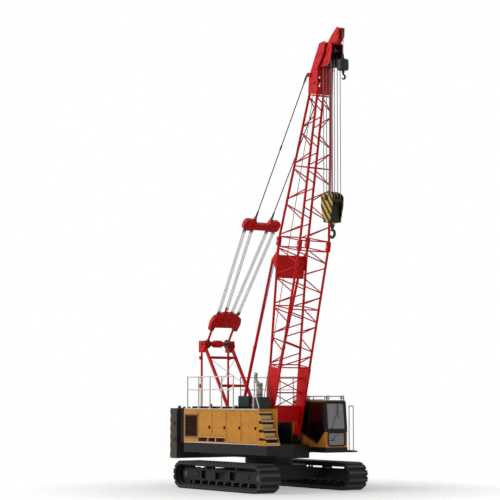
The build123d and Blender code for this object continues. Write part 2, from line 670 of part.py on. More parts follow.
# ---------------------------------------------------------------- top of the housings
RAIL_RADIUS = 18.0
POST_RADIUS = 24.0
RAIL_TOP = 3770.0
RAIL_MIDDLE = 3330.0
RAIL_INSET = 90.0
RAIL_REAR = -2920.0
POST_COUNT = 5
PAD_THICKNESS = 70.0
PAD_WIDTH = 420.0
BOX_CORNER = 30.0
# handrails: side sign, front end
RAILS = ((-1, -60.0), (1, HOUSING_LEFT_FRONT - 80.0))
# grab rails: y, then their path as x and z
GRAB_RAILS = (
    (
        -1450.0,
        (
            (1180.0, HOUSING_TOP),
            (1180.0, 3080.0),
            (1330.0, 3080.0),
            (1490.0, HOUSING_TOP + 60.0),
            (1490.0, HOUSING_TOP),
        ),
    ),
    (
        CAB_OUTER + CATWALK_WIDTH - 130.0,
        ((1960.0, CATWALK_TOP), (1960.0, 2780.0), (2190.0, 2780.0), (2190.0, CATWALK_TOP)),
    ),
)
with BuildPart() as handrails:
    members = []
    for sign, front in RAILS:
        y = sign * (UPPER_HALF_WIDTH - RAIL_INSET)
        inner_y = sign * (BAY_HALF_WIDTH + RAIL_INSET)
        for z in (RAIL_TOP, RAIL_MIDDLE):
            members.append(bar((RAIL_REAR, y, z), (front, y, z), RAIL_RADIUS))
            members.append(bar((RAIL_REAR, inner_y, z), (RAIL_REAR, y, z), RAIL_RADIUS))
        posts = [(between(RAIL_REAR, front, post / (POST_COUNT - 1)), y) for post in range(POST_COUNT)]
        for x, post_y in posts + [(RAIL_REAR, inner_y)]:
            post_top = RAIL_TOP + POST_RADIUS
            members.append(bar((x, post_y, HOUSING_TOP), (x, post_y, post_top), POST_RADIUS))
    for y, path in GRAB_RAILS:
        for (low_x, low_z), (high_x, high_z) in zip(path, path[1:]):
            members.append(bar((low_x, y, low_z), (high_x, y, high_z), RAIL_RADIUS))
        for x, z in path[1:-1]:
            with BuildPart() as elbow:
                with Locations((x, y, z)):
                    Sphere(RAIL_RADIUS)
            members.append(elbow.part)
    for member in members:
        add(member)
handrails.part.label = "handrails"
export_step(handrails.part, "parts/handrails.step")

with BuildPart() as walkways:
    # walkway pads: sign, rear end, front end
    for sign, rear, front in ((-1, -2760.0, -1470.0), (-1, -1220.0, 20.0), (1, -2760.0, 0.0)):
        middle = sign * (UPPER_HALF_WIDTH + BAY_HALF_WIDTH) / 2
        with BuildSketch(Plane.XY.offset(HOUSING_TOP)):
            with Locations(((rear + front) / 2, middle)):
                Rectangle(front - rear, PAD_WIDTH)
        extrude(amount=PAD_THICKNESS)
walkways.part.label = "walkway_pads"
export_step(walkways.part, "parts/walkway_pads.step")

# boxes on the right housing: x, y, length, width, height
DECK_BOXES = ((-280.0, -790.0, 660.0, 140.0, 410.0), (990.0, -1000.0, 400.0, 400.0, 380.0))
with BuildPart() as deck_boxes:
    for x, y, length, width, height in DECK_BOXES:
        with BuildSketch(Plane.XY.offset(HOUSING_TOP)):
            with Locations((x, y)):
                RectangleRounded(length, width, BOX_CORNER)
        extrude(amount=height)
    chamfer(deck_boxes.edges().group_by(Axis.Z)[-1], BOX_CORNER / 2)
deck_boxes.part.label = "deck_boxes"
export_step(deck_boxes.part, "parts/deck_boxes.step")

MUFFLER_X = 880.0
MUFFLER_Y = -1000.0
MUFFLER_RADIUS = 105.0
MUFFLER_TOP = 3550.0
STACK_X = 660.0
STACK_RADIUS = 62.0
STACK_BEND = 3640.0           # height at which the pipe turns upright
STACK_TOP = 3830.0
with BuildPart() as exhaust:
    with BuildSketch(Plane.XY.offset(HOUSING_TOP + DECK_BOXES[-1][-1])):
        with Locations((MUFFLER_X, MUFFLER_Y)):
            Circle(MUFFLER_RADIUS)
    extrude(amount=MUFFLER_TOP - HOUSING_TOP - DECK_BOXES[-1][-1])
    turn = Vector(STACK_X, MUFFLER_Y, STACK_BEND)
    add(bar((MUFFLER_X, MUFFLER_Y, MUFFLER_TOP - MUFFLER_RADIUS), turn, STACK_RADIUS))
    with Locations(turn):
        Sphere(STACK_RADIUS)
    add(bar(turn, (STACK_X, MUFFLER_Y, STACK_TOP), STACK_RADIUS))
exhaust.part.label = "exhaust_stack"
export_step(exhaust.part, "parts/exhaust_stack.step")

# ---------------------------------------------------------------- winches
FLANGE_DEPTH = 26.0
STAND_GAP = 8.0
STAND_THICKNESS = 40.0
SHAFT_RADIUS = 60.0
# winches: name, x, z, barrel radius, flange radius, barrel half-width
WINCHES = (
    ("luffing_winch", -2300.0, 2060.0, 190.0, 330.0, 330.0),
    ("aux_winch", -1420.0, 2060.0, 240.0, 400.0, 330.0),
    ("main_winch", -420.0, 2060.0, 240.0, 400.0, 330.0),
)
for name, x, z, barrel, flange, half in WINCHES:
    with BuildPart() as drum:
        with BuildSketch(spin_plane(x, z, half)):
            Circle(barrel)
        extrude(amount=2 * half)
        for face in (half, -half + FLANGE_DEPTH):
            with BuildSketch(spin_plane(x, z, face)):
                Circle(flange)
            extrude(amount=FLANGE_DEPTH)
        with BuildSketch(spin_plane(x, z, half + STAND_GAP + STAND_THICKNESS)):
            Circle(SHAFT_RADIUS)
        extrude(amount=2 * (half + STAND_GAP + STAND_THICKNESS))
    drum.part.label = name
    export_step(drum.part, f"parts/{name}.step")

with BuildPart() as stands:
    for name, x, z, barrel, flange, half in WINCHES:
        for sign in (-1, 1):
            face = sign * (half + STAND_GAP + STAND_THICKNESS / 2) + STAND_THICKNESS / 2
            with BuildSketch(side_plane(face)):
                with BuildLine():
                    Polyline(
                        (x - flange, DECK_TOP),
                        (x + flange, DECK_TOP),
                        (x + 2 * SHAFT_RADIUS, z + 2 * SHAFT_RADIUS),
                        (x - 2 * SHAFT_RADIUS, z + 2 * SHAFT_RADIUS),
                        close=True,
                    )
                make_face()
                with Locations((x, z)):
                    Circle(SHAFT_RADIUS + PIN_GAP, mode=Mode.SUBTRACT)
            extrude(amount=STAND_THICKNESS)
stands.part.label = "winch_stands"
export_step(stands.part, "parts/winch_stands.step")

# ---------------------------------------------------------------- gantry
GANTRY_Y = 560.0
GANTRY_HEAD_X = -3200.0
GANTRY_HEAD_Z = 4950.0
GANTRY_FOOT_X = -810.0
STRUT_X = -3340.0
LEG_WIDTH = 76.0
LEG_DEPTH = 100.0
STRUT_RADIUS = 38.0
CROSS_RADIUS = 48.0
HEAD_PLATE = 40.0
HEAD_SHAFT_RADIUS = 45.0
GANTRY_CROSS_Z = (4460.0, 3470.0)
STRUT_TOP = GANTRY_HEAD_Z - 260.0
# outline of a plate at the gantry's head: ahead of the shaft, above it
HEAD_PLATE_OUTLINE = ((-220.0, -300.0), (-220.0, 110.0), (140.0, 110.0), (190.0, -90.0), (60.0, -300.0))


def gantry_leg_x(z):
    """Place along X of the front leg's middle line at height z."""
    share = (z - DECK_TOP) / (GANTRY_HEAD_Z - DECK_TOP)
    return between(GANTRY_FOOT_X, GANTRY_HEAD_X, share)


with BuildPart() as gantry_legs:
    members = []
    for side, sign in SIDES:
        y = sign * GANTRY_Y
        head = Vector(GANTRY_HEAD_X, y, GANTRY_HEAD_Z)
        foot = Vector(GANTRY_FOOT_X, y, DECK_TOP)
        run_on = (head - foot).normalized() * LEG_DEPTH
        members.append(beam(foot - run_on, head + run_on, LEG_WIDTH, LEG_DEPTH))
    for z in GANTRY_CROSS_Z:
        x = gantry_leg_x(z)
        members.append(bar((x, -GANTRY_Y, z), (x, GANTRY_Y, z), CROSS_RADIUS))
    add(members)
    split(bisect_by=Plane.XY.offset(DECK_TOP), keep=Keep.TOP)
    with BuildSketch(spin_plane(GANTRY_HEAD_X, GANTRY_HEAD_Z, GANTRY_Y + LEG_WIDTH)):
        Circle(HEAD_SHAFT_RADIUS + PIN_GAP)
    extrude(amount=2 * (GANTRY_Y + LEG_WIDTH), mode=Mode.SUBTRACT)
gantry_legs.part.label = "gantry_legs"
export_step(gantry_legs.part, "parts/gantry_legs.step")

with BuildPart() as gantry_struts:
    for side, sign in SIDES:
        with BuildSketch(Plane.XY.offset(REAR_BOX_TOP)):
            with Locations((STRUT_X, sign * GANTRY_Y)):
                Circle(STRUT_RADIUS)
        extrude(amount=STRUT_TOP - REAR_BOX_TOP)
gantry_struts.part.label = "gantry_struts"
export_step(gantry_struts.part, "parts/gantry_struts.step")

with BuildPart() as gantry_head:
    for side, sign in SIDES:
        for offset_y in (LEG_WIDTH / 2, -LEG_WIDTH / 2 - HEAD_PLATE):
            with BuildSketch(side_plane(sign * GANTRY_Y + offset_y + HEAD_PLATE)):
                with BuildLine():
                    Polyline(
                        *[(GANTRY_HEAD_X + x, GANTRY_HEAD_Z + z) for x, z in HEAD_PLATE_OUTLINE],
                        close=True,
                    )
                make_face()
            extrude(amount=HEAD_PLATE)
    head_half_width = GANTRY_Y + LEG_WIDTH / 2 + HEAD_PLATE
    with BuildSketch(spin_plane(GANTRY_HEAD_X, GANTRY_HEAD_Z, head_half_width)):
        Circle(HEAD_SHAFT_RADIUS)
    extrude(amount=2 * head_half_width)
gantry_head.part.label = "gantry_head"
export_step(gantry_head.part, "parts/gantry_head.step")

# ---------------------------------------------------------------- cab
WINDSHIELD_BOTTOM = 1980.0
CAB_PILLAR = 60.0
GLASS_THICKNESS = 8.0
RACK_HEIGHT = 150.0
RACK_RADIUS = 22.0
RACK_INSET = 45.0
WINDOW_CORNER = 80.0
DOOR_WINDOW_CORNER = 60.0


def cab_profile(inset):
    """Side outline of the cab, inset by a wall's thickness all round."""
    return [
        (CAB_REAR + inset, CAB_FLOOR + inset),
        (CAB_FRONT - inset, CAB_FLOOR + inset),
        (CAB_FRONT - inset, WINDSHIELD_BOTTOM),
        (CAB_FRONT - CAB_RAKE - inset, CAB_ROOF - inset),
        (CAB_REAR + inset, CAB_ROOF - inset),
    ]


WINDSHIELD_LOW = WINDSHIELD_BOTTOM + 40.0
WINDSHIELD_HIGH = CAB_ROOF - CAB_PILLAR


def windshield_x(z):
    """Place along X of the cab's raked front face at height z."""
    share = (z - WINDSHIELD_BOTTOM) / (CAB_ROOF - WINDSHIELD_BOTTOM)
    return CAB_FRONT - CAB_RAKE * share


# window in the inner side: lower edge dips to a point ahead of the seat
INNER_WINDOW = (
    (CAB_REAR + 360.0, 1960.0),
    (1755.0, 1560.0),
    (CAB_FRONT - 110.0, 1930.0),
    (CAB_FRONT - CAB_RAKE - 90.0, 2860.0),
    (CAB_REAR + 360.0, 2860.0),
)
DOOR_REAR = 860.0
DOOR_FRONT = 1880.0
CAB_DOOR_BOTTOM = 1480.0
CAB_DOOR_TOP = 2880.0
LOWER_WINDOW_BOTTOM = 1480.0
LOWER_WINDOW_TOP = 1910.0
with BuildPart() as cab:
    with BuildSketch(side_plane(CAB_OUTER)):
        with BuildLine():
            Polyline(*cab_profile(0), close=True)
        make_face()
    extrude(amount=CAB_OUTER - CAB_INNER)
    with BuildSketch(side_plane(CAB_OUTER - CAB_WALL)):
        with BuildLine():
            Polyline(*cab_profile(CAB_WALL), close=True)
        make_face()
    extrude(amount=CAB_OUTER - CAB_INNER - 2 * CAB_WALL, mode=Mode.SUBTRACT)
    with BuildSketch(side_plane(CAB_INNER + CAB_WALL)):
        with BuildLine():
            Polyline(*INNER_WINDOW, close=True)
        make_face()
    extrude(amount=CAB_WALL, mode=Mode.SUBTRACT)
    with BuildSketch(side_plane(CAB_OUTER)):
        with Locations(((DOOR_REAR + DOOR_FRONT) / 2, (CAB_DOOR_BOTTOM + CAB_DOOR_TOP) / 2)):
            Rectangle(DOOR_FRONT - DOOR_REAR, CAB_DOOR_TOP - CAB_DOOR_BOTTOM)
    extrude(amount=CAB_WALL, mode=Mode.SUBTRACT)
    # windscreen and the window below it, cut through the front wall
    with BuildSketch(Plane.YZ.offset(CAB_FRONT - CAB_RAKE - 2 * CAB_WALL)):
        with Locations(((CAB_INNER + CAB_OUTER) / 2, (WINDSHIELD_LOW + WINDSHIELD_HIGH) / 2)):
            Rectangle(CAB_OUTER - CAB_INNER - 2 * CAB_PILLAR, WINDSHIELD_HIGH - WINDSHIELD_LOW)
        with Locations(((CAB_INNER + CAB_OUTER) / 2, (LOWER_WINDOW_BOTTOM + LOWER_WINDOW_TOP) / 2)):
            RectangleRounded(
                CAB_OUTER - CAB_INNER - 3 * CAB_PILLAR, LOWER_WINDOW_TOP - LOWER_WINDOW_BOTTOM, WINDOW_CORNER
            )
    extrude(amount=CAB_RAKE + 3 * CAB_WALL, mode=Mode.SUBTRACT)
cab.part.label = "cab_shell"
export_step(cab.part, "parts/cab_shell.step")

with BuildPart() as cab_glass:
    with BuildSketch(side_plane(CAB_INNER + (CAB_WALL + GLASS_THICKNESS) / 2)):
        with BuildLine():
            Polyline(*INNER_WINDOW, close=True)
        make_face()
    extrude(amount=GLASS_THICKNESS)
    with BuildSketch(Plane.YZ.offset(CAB_FRONT - (CAB_WALL + GLASS_THICKNESS) / 2)):
        with Locations(((CAB_INNER + CAB_OUTER) / 2, (LOWER_WINDOW_BOTTOM + LOWER_WINDOW_TOP) / 2)):
            RectangleRounded(
                CAB_OUTER - CAB_INNER - 3 * CAB_PILLAR, LOWER_WINDOW_TOP - LOWER_WINDOW_BOTTOM, WINDOW_CORNER
            )
    extrude(amount=GLASS_THICKNESS)
    with BuildSketch(side_plane(CAB_OUTER - CAB_PILLAR)):
        with BuildLine():
            Polyline(
                *[
                    (windshield_x(z) - (CAB_WALL + sign * GLASS_THICKNESS) / 2, z)
                    for sign, z in (
                        (-1, WINDSHIELD_LOW),
                        (-1, WINDSHIELD_HIGH),
                        (1, WINDSHIELD_HIGH),
                        (1, WINDSHIELD_LOW),
                    )
                ],
                close=True,
            )
        make_face()
    extrude(amount=CAB_OUTER - CAB_INNER - 2 * CAB_PILLAR)
cab_glass.part.label = "cab_glass"
export_step(cab_glass.part, "parts/cab_glass.step")

with BuildPart() as cab_door:
    with BuildSketch(side_plane(CAB_OUTER)):
        with Locations(((DOOR_REAR + DOOR_FRONT) / 2, (CAB_DOOR_BOTTOM + CAB_DOOR_TOP) / 2)):
            Rectangle(
                DOOR_FRONT - DOOR_REAR - 2 * DOOR_GAP,
                CAB_DOOR_TOP - CAB_DOOR_BOTTOM - 2 * DOOR_GAP,
            )
            with Locations((0, (CAB_DOOR_TOP - CAB_DOOR_BOTTOM) / 6)):
                RectangleRounded(
                    DOOR_FRONT - DOOR_REAR - 4 * CAB_PILLAR,
                    (CAB_DOOR_TOP - CAB_DOOR_BOTTOM) / 2,
                    DOOR_WINDOW_CORNER,
                    mode=Mode.SUBTRACT,
                )
    extrude(amount=CAB_WALL)
cab_door.part.label = "cab_door"
export_step(cab_door.part, "parts/cab_door.step")

with BuildPart() as cab_door_glass:
    with BuildSketch(side_plane(CAB_OUTER - (CAB_WALL - GLASS_THICKNESS) / 2)):
        with Locations(((DOOR_REAR + DOOR_FRONT) / 2, (CAB_DOOR_BOTTOM + CAB_DOOR_TOP) / 2)):
            with Locations((0, (CAB_DOOR_TOP - CAB_DOOR_BOTTOM) / 6)):
                RectangleRounded(
                    DOOR_FRONT - DOOR_REAR - 4 * CAB_PILLAR,
                    (CAB_DOOR_TOP - CAB_DOOR_BOTTOM) / 2,
                    DOOR_WINDOW_CORNER,
                )
    extrude(amount=GLASS_THICKNESS)
cab_door_glass.part.label = "cab_door_glass"
export_step(cab_door_glass.part, "parts/cab_door_glass.step")

RACK_LEGS = 3
with BuildPart() as cab_fittings:
    # guard rail over the cab's roof
    spots = [
        (between(CAB_REAR + RACK_INSET, CAB_FRONT - CAB_RAKE - RACK_INSET, leg / (RACK_LEGS - 1)), y)
        for leg in range(RACK_LEGS)
        for y in (CAB_INNER + RACK_INSET, CAB_OUTER - RACK_INSET)
    ]
    rails = [bar((x, y, CAB_ROOF), (x, y, CAB_ROOF + RACK_HEIGHT), RACK_RADIUS) for x, y in spots]
    corners = [spots[0], spots[1], spots[-1], spots[-2]]
    for start, end in zip(corners, corners[1:] + corners[:1]):
        rails.append(bar((*start, CAB_ROOF + RACK_HEIGHT), (*end, CAB_ROOF + RACK_HEIGHT), RACK_RADIUS))
    for x, y in corners:
        with BuildPart() as elbow:
            with Locations((x, y, CAB_ROOF + RACK_HEIGHT)):
                Sphere(RACK_RADIUS)
        rails.append(elbow.part)
    for rail in rails:
        add(rail)
cab_fittings.part.label = "cab_fittings"
export_step(cab_fittings.part, "parts/cab_fittings.step")

SEAT_X = 1150.0
SEAT_WIDTH = 480.0
# side outline of the seat: ahead of the seat's middle, above the cab's floor
SEAT_OUTLINE = (
    (-180.0, CAB_WALL),
    (180.0, CAB_WALL),
    (180.0, 330.0),
    (260.0, 350.0),
    (260.0, 470.0),
    (-150.0, 460.0),
    (-270.0, 1080.0),
    (-390.0, 1080.0),
    (-260.0, 330.0),
    (-180.0, 330.0),
)
with BuildPart() as seat:
    with BuildSketch(side_plane((CAB_INNER + CAB_OUTER) / 2 + SEAT_WIDTH / 2)):
        with BuildLine():
            Polyline(
                *[(SEAT_X + ahead, CAB_FLOOR + above) for ahead, above in SEAT_OUTLINE],
                close=True,
            )
        make_face()
    extrude(amount=SEAT_WIDTH)
seat.part.label = "cab_seat"
export_step(seat.part, "parts/cab_seat.step")

# ---------------------------------------------------------------- boom
def base_depth(along):
    """Outer depth of the base section at a distance from the foot pin."""
    return between(FOOT_DEPTH, JOINT_DEPTH, along / BASE_END)


def tip_share(along):
    """Share of the way up the tip section."""
    return (along - TIP_START) / (TIP_END - TIP_START)


def chord_point(along, back_sign, side_sign):
    """Centre of a chord: +1 back or left, -1 front or right."""
    if along <= BASE_END:
        depth, half_width = base_depth(along), BOOM_HALF_WIDTH
    elif along >= TIP_START:
        depth = between(JOINT_DEPTH, HEAD_DEPTH, tip_share(along))
        half_width = between(BOOM_HALF_WIDTH, HEAD_HALF_WIDTH, tip_share(along))
    else:
        depth, half_width = JOINT_DEPTH, BOOM_HALF_WIDTH
    return boom_point(
        along, back_sign * (depth / 2 - CHORD_RADIUS), side_sign * (half_width - CHORD_RADIUS)
    )


# faces of the lattice: the two chords that bound each, as back and side signs
FACES = (((1, -1), (-1, -1)), ((1, 1), (-1, 1)), ((1, -1), (1, 1)), ((-1, -1), (-1, 1)))
CHORDS = ((1, -1), (1, 1), (-1, -1), (-1, 1))


def chord_bar(start, end, chord):
    """One chord's tube between two distances from the foot pin."""
    return bar(chord_point(start, *chord), chord_point(end, *chord), CHORD_RADIUS)


def lacing(start, end, bays, coping):
    """Lacing tubes of one section, each coped to the chords that it joins."""
    tubes = []
    for one, other in FACES:
        frames = (start + END_BAR, between(start, end, (bays // 2) / bays), end - END_BAR)
        spots = [(along, along, one, other) for along in frames]
        for bay in range(bays):
            near = between(start, end, (bay + BAY_MARGIN) / bays)
            far = between(start, end, (bay + 1 - BAY_MARGIN) / bays)
            first, second = (one, other) if bay % 2 == 0 else (other, one)
            spots.append((near, far, first, second))
        for near, far, first, second in spots:
            with BuildPart() as tube:
                add(bar(chord_point(near, *first), chord_point(far, *second), LACING_RADIUS))
                add([coping[one], coping[other]], mode=Mode.SUBTRACT)
            tubes.append(tube.part)
    return tubes


# backstops: tubes behind the boom that stop it falling backwards
STOP_Y = BOOM_HALF_WIDTH - CHORD_RADIUS
STOP_RADIUS = 45.0
STOP_LOW = Vector(-900.0, 0, 2200.0)
STOP_HIGH = boom_point(5840.0, 830.0)
STOP_BRACKET = 60.0
STOP_BRACKET_LOW = 5560.0
STOP_BRACKET_HIGH = 6260.0


def stop_bracket_outline():
    """Outline of the bracket that joins a backstop's top end to the boom's rear chord."""
    along = (STOP_HIGH - STOP_LOW).normalized()
    across = Vector(0, 1, 0).cross(along) * STOP_RADIUS
    low_chord = boom_point(STOP_BRACKET_LOW, base_depth(STOP_BRACKET_LOW) / 2 - CHORD_RADIUS)
    high_chord = boom_point(STOP_BRACKET_HIGH, base_depth(STOP_BRACKET_HIGH) / 2 - CHORD_RADIUS)
    return [
        STOP_HIGH + across,
        STOP_HIGH - across,
        STOP_HIGH - across + along * STOP_RADIUS,
        high_chord,
        low_chord,
    ]


CROSS_PLATE_START = 560.0
CROSS_PLATE_END = 1120.0
CROSS_PLATE = 40.0
BASE_CHORDS = {
    chord: chord_bar(PLATE_END - 2 * CHORD_RADIUS, BASE_END, chord) for chord in CHORDS
}
with BuildPart() as boom_base:
    for side, sign in SIDES:
        with BuildSketch(boom_plane(sign * (BOOM_HALF_WIDTH - FOOT_PLATE / 2) + FOOT_PLATE / 2)):
            Circle(FOOT_RADIUS)
            with BuildLine():
                Polyline(
                    (0, FOOT_RADIUS),
                    (0, -FOOT_RADIUS),
                    (PLATE_END, -base_depth(PLATE_END) / 2),
                    (PLATE_END, base_depth(PLATE_END) / 2),
                    close=True,
                )
            make_face()
            Circle(FOOT_PIN_RADIUS + PIN_GAP, mode=Mode.SUBTRACT)
        extrude(amount=FOOT_PLATE)
    with BuildSketch(boom_plane(BOOM_HALF_WIDTH - FOOT_PLATE)):
        with Locations(((CROSS_PLATE_START + CROSS_PLATE_END) / 2, 0)):
            Rectangle(CROSS_PLATE_END - CROSS_PLATE_START, CROSS_PLATE)
    extrude(amount=2 * (BOOM_HALF_WIDTH - FOOT_PLATE))
    for chord in CHORDS:
        end = chord_point(BASE_END, *chord)
        add([BASE_CHORDS[chord], bar(end, end + BOOM_ALONG * CONNECTOR_LENGTH, CONNECTOR_RADIUS)])
    for side, sign in SIDES:
        with BuildSketch(side_plane(sign * STOP_Y + STOP_BRACKET / 2)):
            with BuildLine():
                Polyline(
                    *[(point.X, point.Z) for point in stop_bracket_outline()],
                    close=True,
                )
            make_face()
        extrude(amount=STOP_BRACKET)
boom_base.part.label = "boom_base"
export_step(boom_base.part, "parts/boom_base.step")

with BuildPart() as boom_base_lacing:
    add(lacing(PLATE_END + LACING_RADIUS, BASE_END - LACING_RADIUS, BASE_BAYS, BASE_CHORDS))
boom_base_lacing.part.label = "boom_base_lacing"
export_step(boom_base_lacing.part, "parts/boom_base_lacing.step")

TIP_CHORDS = {chord: chord_bar(TIP_START, TIP_END + CHORD_RADIUS, chord) for chord in CHORDS}
with BuildPart() as boom_tip:
    add(list(TIP_CHORDS.values()))
    split(bisect_by=boom_cut(TIP_END), keep=Keep.BOTTOM)
    for chord in CHORDS:
        start = chord_point(TIP_START, *chord)
        add(bar(start, start - BOOM_ALONG * CONNECTOR_LENGTH, CONNECTOR_RADIUS))
boom_tip.part.label = "boom_tip"
export_step(boom_tip.part, "parts/boom_tip.step")

with BuildPart() as boom_tip_lacing:
    add(lacing(TIP_START + LACING_RADIUS, TIP_END - LACING_RADIUS, TIP_BAYS, TIP_CHORDS))
boom_tip_lacing.part.label = "boom_tip_lacing"
export_step(boom_tip_lacing.part, "parts/boom_tip_lacing.step")

PANEL_START = 5320.0
PANEL_END = 6080.0
PANEL_THICKNESS = 30.0
PANEL_SEAT = 0.3              # the tapering chords stand this proud of the section's depth
PANEL_HALF_WIDTH = STOP_Y - STOP_BRACKET / 2 - RUN_GAP
with BuildPart() as boom_panel:
    with BuildSketch(boom_plane(PANEL_HALF_WIDTH)):
        with BuildLine():
            Polyline(
                *[
                    (along, base_depth(along) / 2 + PANEL_SEAT + rise)
                    for along, rise in (
                        (PANEL_START, 0),
                        (PANEL_END, 0),
                        (PANEL_END, PANEL_THICKNESS),
                        (PANEL_START, PANEL_THICKNESS),
                    )
                ],
                close=True,
            )
        make_face()
    extrude(amount=2 * PANEL_HALF_WIDTH)
boom_panel.part.label = "boom_panel"
export_step(boom_panel.part, "parts/boom_panel.step")

with BuildPart() as backstops:
    for side, sign in SIDES:
        add(bar(STOP_LOW + Vector(0, sign * STOP_Y, 0), STOP_HIGH + Vector(0, sign * STOP_Y, 0), STOP_RADIUS))
backstops.part.label = "backstops"
export_step(backstops.part, "parts/backstops.step")

# ---------------------------------------------------------------- boom head
SHEAVE_ALONG = 12610.0        # load sheaves
SHEAVE_BACK = -420.0
SHEAVE_RADIUS = 200.0
SHEAVE_THICKNESS = 40.0
SHEAVE_SHAFT_RADIUS = 45.0
GUIDE_ALONG = 12960.0         # guide sheave above them
GUIDE_BACK = -444.0
GUIDE_RADIUS = 120.0
HEAD_WALL = 30.0
HEAD_BACK_END = 11700.0       # upper edge of the plate across the back
HEAD_HOLE = (11840.0, -40.0, 55.0)
# slot in the front plate: along, side, length, width
HEAD_SLOT = (11900.0, -220.0, 320.0, 70.0)
HEAD_BEND = 12400.0           # where the front plate turns in behind the sheaves
HEAD_INNER = -110.0
HEAD_PLATE_END = 12800.0
# plate across the front and cover over the top of the head: along, back
HEAD_FRONT = (
    (TIP_END, -HEAD_DEPTH / 2),
    (HEAD_BEND, HEAD_INNER),
    (HEAD_PLATE_END, HEAD_INNER),
    (HEAD_PLATE_END, HEAD_INNER + HEAD_WALL),
    (HEAD_BEND, HEAD_INNER + HEAD_WALL),
    (TIP_END, HEAD_WALL - HEAD_DEPTH / 2),
)
HEAD_COVER = (
    (12300.0, 219.0),
    (12700.0, 90.0),
    (13150.0, -60.0),
    (13196.0, -215.0),
    (13162.0, -215.0),
    (13120.0, -90.0),
    (12690.0, 58.0),
    (12290.0, 187.0),
)
# beam across the head's front that carries the nose: along, back, depths along and back
NOSE_BEAM = (13185.0, -460.0, 40.0, 240.0)
NEST_HALF_WIDTH = 240.0       # outer faces of the plates beside the sheaves
NEST_PLATE = 25.0
NEST_END = NOSE_BEAM[0] - NOSE_BEAM[2] / 2
# outline of a plate beside the sheaves
NEST_OUTLINE = (
    (HEAD_BEND, HEAD_INNER),
    (13120.0, HEAD_INNER),
    (NEST_END, -230.0),
    (NEST_END, -590.0),
    (13110.0, -640.0),
    (12900.0, -660.0),
    (12560.0, -640.0),
    (12450.0, -520.0),
    (HEAD_BEND, -250.0),
)
ANCHOR_ALONG = 12100.0
ANCHOR_BACK = 330.0
ANCHOR_PLATE = 40.0
ANCHOR_RADIUS = 70.0
# outline of a head side plate: along, back
HEAD_OUTLINE = (
    (TIP_END, HEAD_DEPTH / 2),
    (12050.0, 300.0),
    (12700.0, 90.0),
    (13150.0, -60.0),
    (13230.0, -330.0),
    (13180.0, -370.0),
    (12900.0, -370.0),
    (12520.0, -210.0),
    (HEAD_BEND, HEAD_INNER),
    (TIP_END, -HEAD_DEPTH / 2),
)
with BuildPart() as boom_head:
    for side, sign in SIDES:
        with BuildSketch(boom_plane(sign * (HEAD_HALF_WIDTH - HEAD_WALL / 2) + HEAD_WALL / 2)):
            with BuildLine():
                Polyline(*HEAD_OUTLINE, close=True)
            make_face()
            with Locations(HEAD_HOLE[:2]):
                Circle(HEAD_HOLE[2], mode=Mode.SUBTRACT)
        extrude(amount=HEAD_WALL)
        with BuildSketch(boom_plane(sign * (HEAD_HALF_WIDTH + ANCHOR_PLATE / 2) + ANCHOR_PLATE / 2)):
            with Locations((ANCHOR_ALONG, ANCHOR_BACK)):
                Circle(ANCHOR_RADIUS)
            with Locations((ANCHOR_ALONG, ANCHOR_BACK - ANCHOR_RADIUS)):
                Rectangle(2 * ANCHOR_RADIUS, 2 * ANCHOR_RADIUS)
        extrude(amount=ANCHOR_PLATE)
        with BuildSketch(boom_plane(sign * (NEST_HALF_WIDTH - NEST_PLATE / 2) + NEST_PLATE / 2)):
            with BuildLine():
                Polyline(*NEST_OUTLINE, close=True)
            make_face()
            with Locations((SHEAVE_ALONG, SHEAVE_BACK), (GUIDE_ALONG, GUIDE_BACK)):
                Circle(SHEAVE_SHAFT_RADIUS + PIN_GAP, mode=Mode.SUBTRACT)
        extrude(amount=NEST_PLATE)
    with BuildSketch(boom_plane(HEAD_HALF_WIDTH - HEAD_WALL)):
        with Locations((TIP_END + HEAD_WALL / 2, 0)):
            Rectangle(HEAD_WALL, HEAD_DEPTH)
        with Locations(((TIP_END + HEAD_BACK_END) / 2, HEAD_DEPTH / 2 - HEAD_WALL / 2)):
            Rectangle(HEAD_BACK_END - TIP_END, HEAD_WALL)
        for outline in (HEAD_FRONT, HEAD_COVER):
            with BuildLine():
                Polyline(*outline, close=True)
            make_face()
    extrude(amount=2 * (HEAD_HALF_WIDTH - HEAD_WALL))
    slot_along, slot_side, slot_length, slot_width = HEAD_SLOT
    with BuildSketch(boom_plane(slot_side + slot_width / 2)):
        with Locations((slot_along, -HEAD_DEPTH / 4)):
            Rectangle(slot_length, HEAD_DEPTH / 2)
    extrude(amount=slot_width, mode=Mode.SUBTRACT)
boom_head.part.label = "boom_head"
export_step(boom_head.part, "parts/boom_head.step")

SHEAVE_PITCH = 120.0
SHEAVE_COUNT = 4
with BuildPart() as head_sheaves:
    shaft_end = NEST_HALF_WIDTH + NEST_PLATE
    with BuildSketch(boom_plane(shaft_end)):
        with Locations((SHEAVE_ALONG, SHEAVE_BACK), (GUIDE_ALONG, GUIDE_BACK)):
            Circle(SHEAVE_SHAFT_RADIUS)
    extrude(amount=2 * shaft_end)
    for sheave in range(SHEAVE_COUNT):
        y = (sheave - (SHEAVE_COUNT - 1) / 2) * SHEAVE_PITCH
        with BuildSketch(boom_plane(y + SHEAVE_THICKNESS / 2)):
            with Locations((SHEAVE_ALONG, SHEAVE_BACK)):
                Circle(SHEAVE_RADIUS)
        extrude(amount=SHEAVE_THICKNESS)
    with BuildSketch(boom_plane(SHEAVE_THICKNESS / 2)):
        with Locations((GUIDE_ALONG, GUIDE_BACK)):
            Circle(GUIDE_RADIUS)
    extrude(amount=SHEAVE_THICKNESS)
head_sheaves.part.label = "head_sheaves"
export_step(head_sheaves.part, "parts/head_sheaves.step")

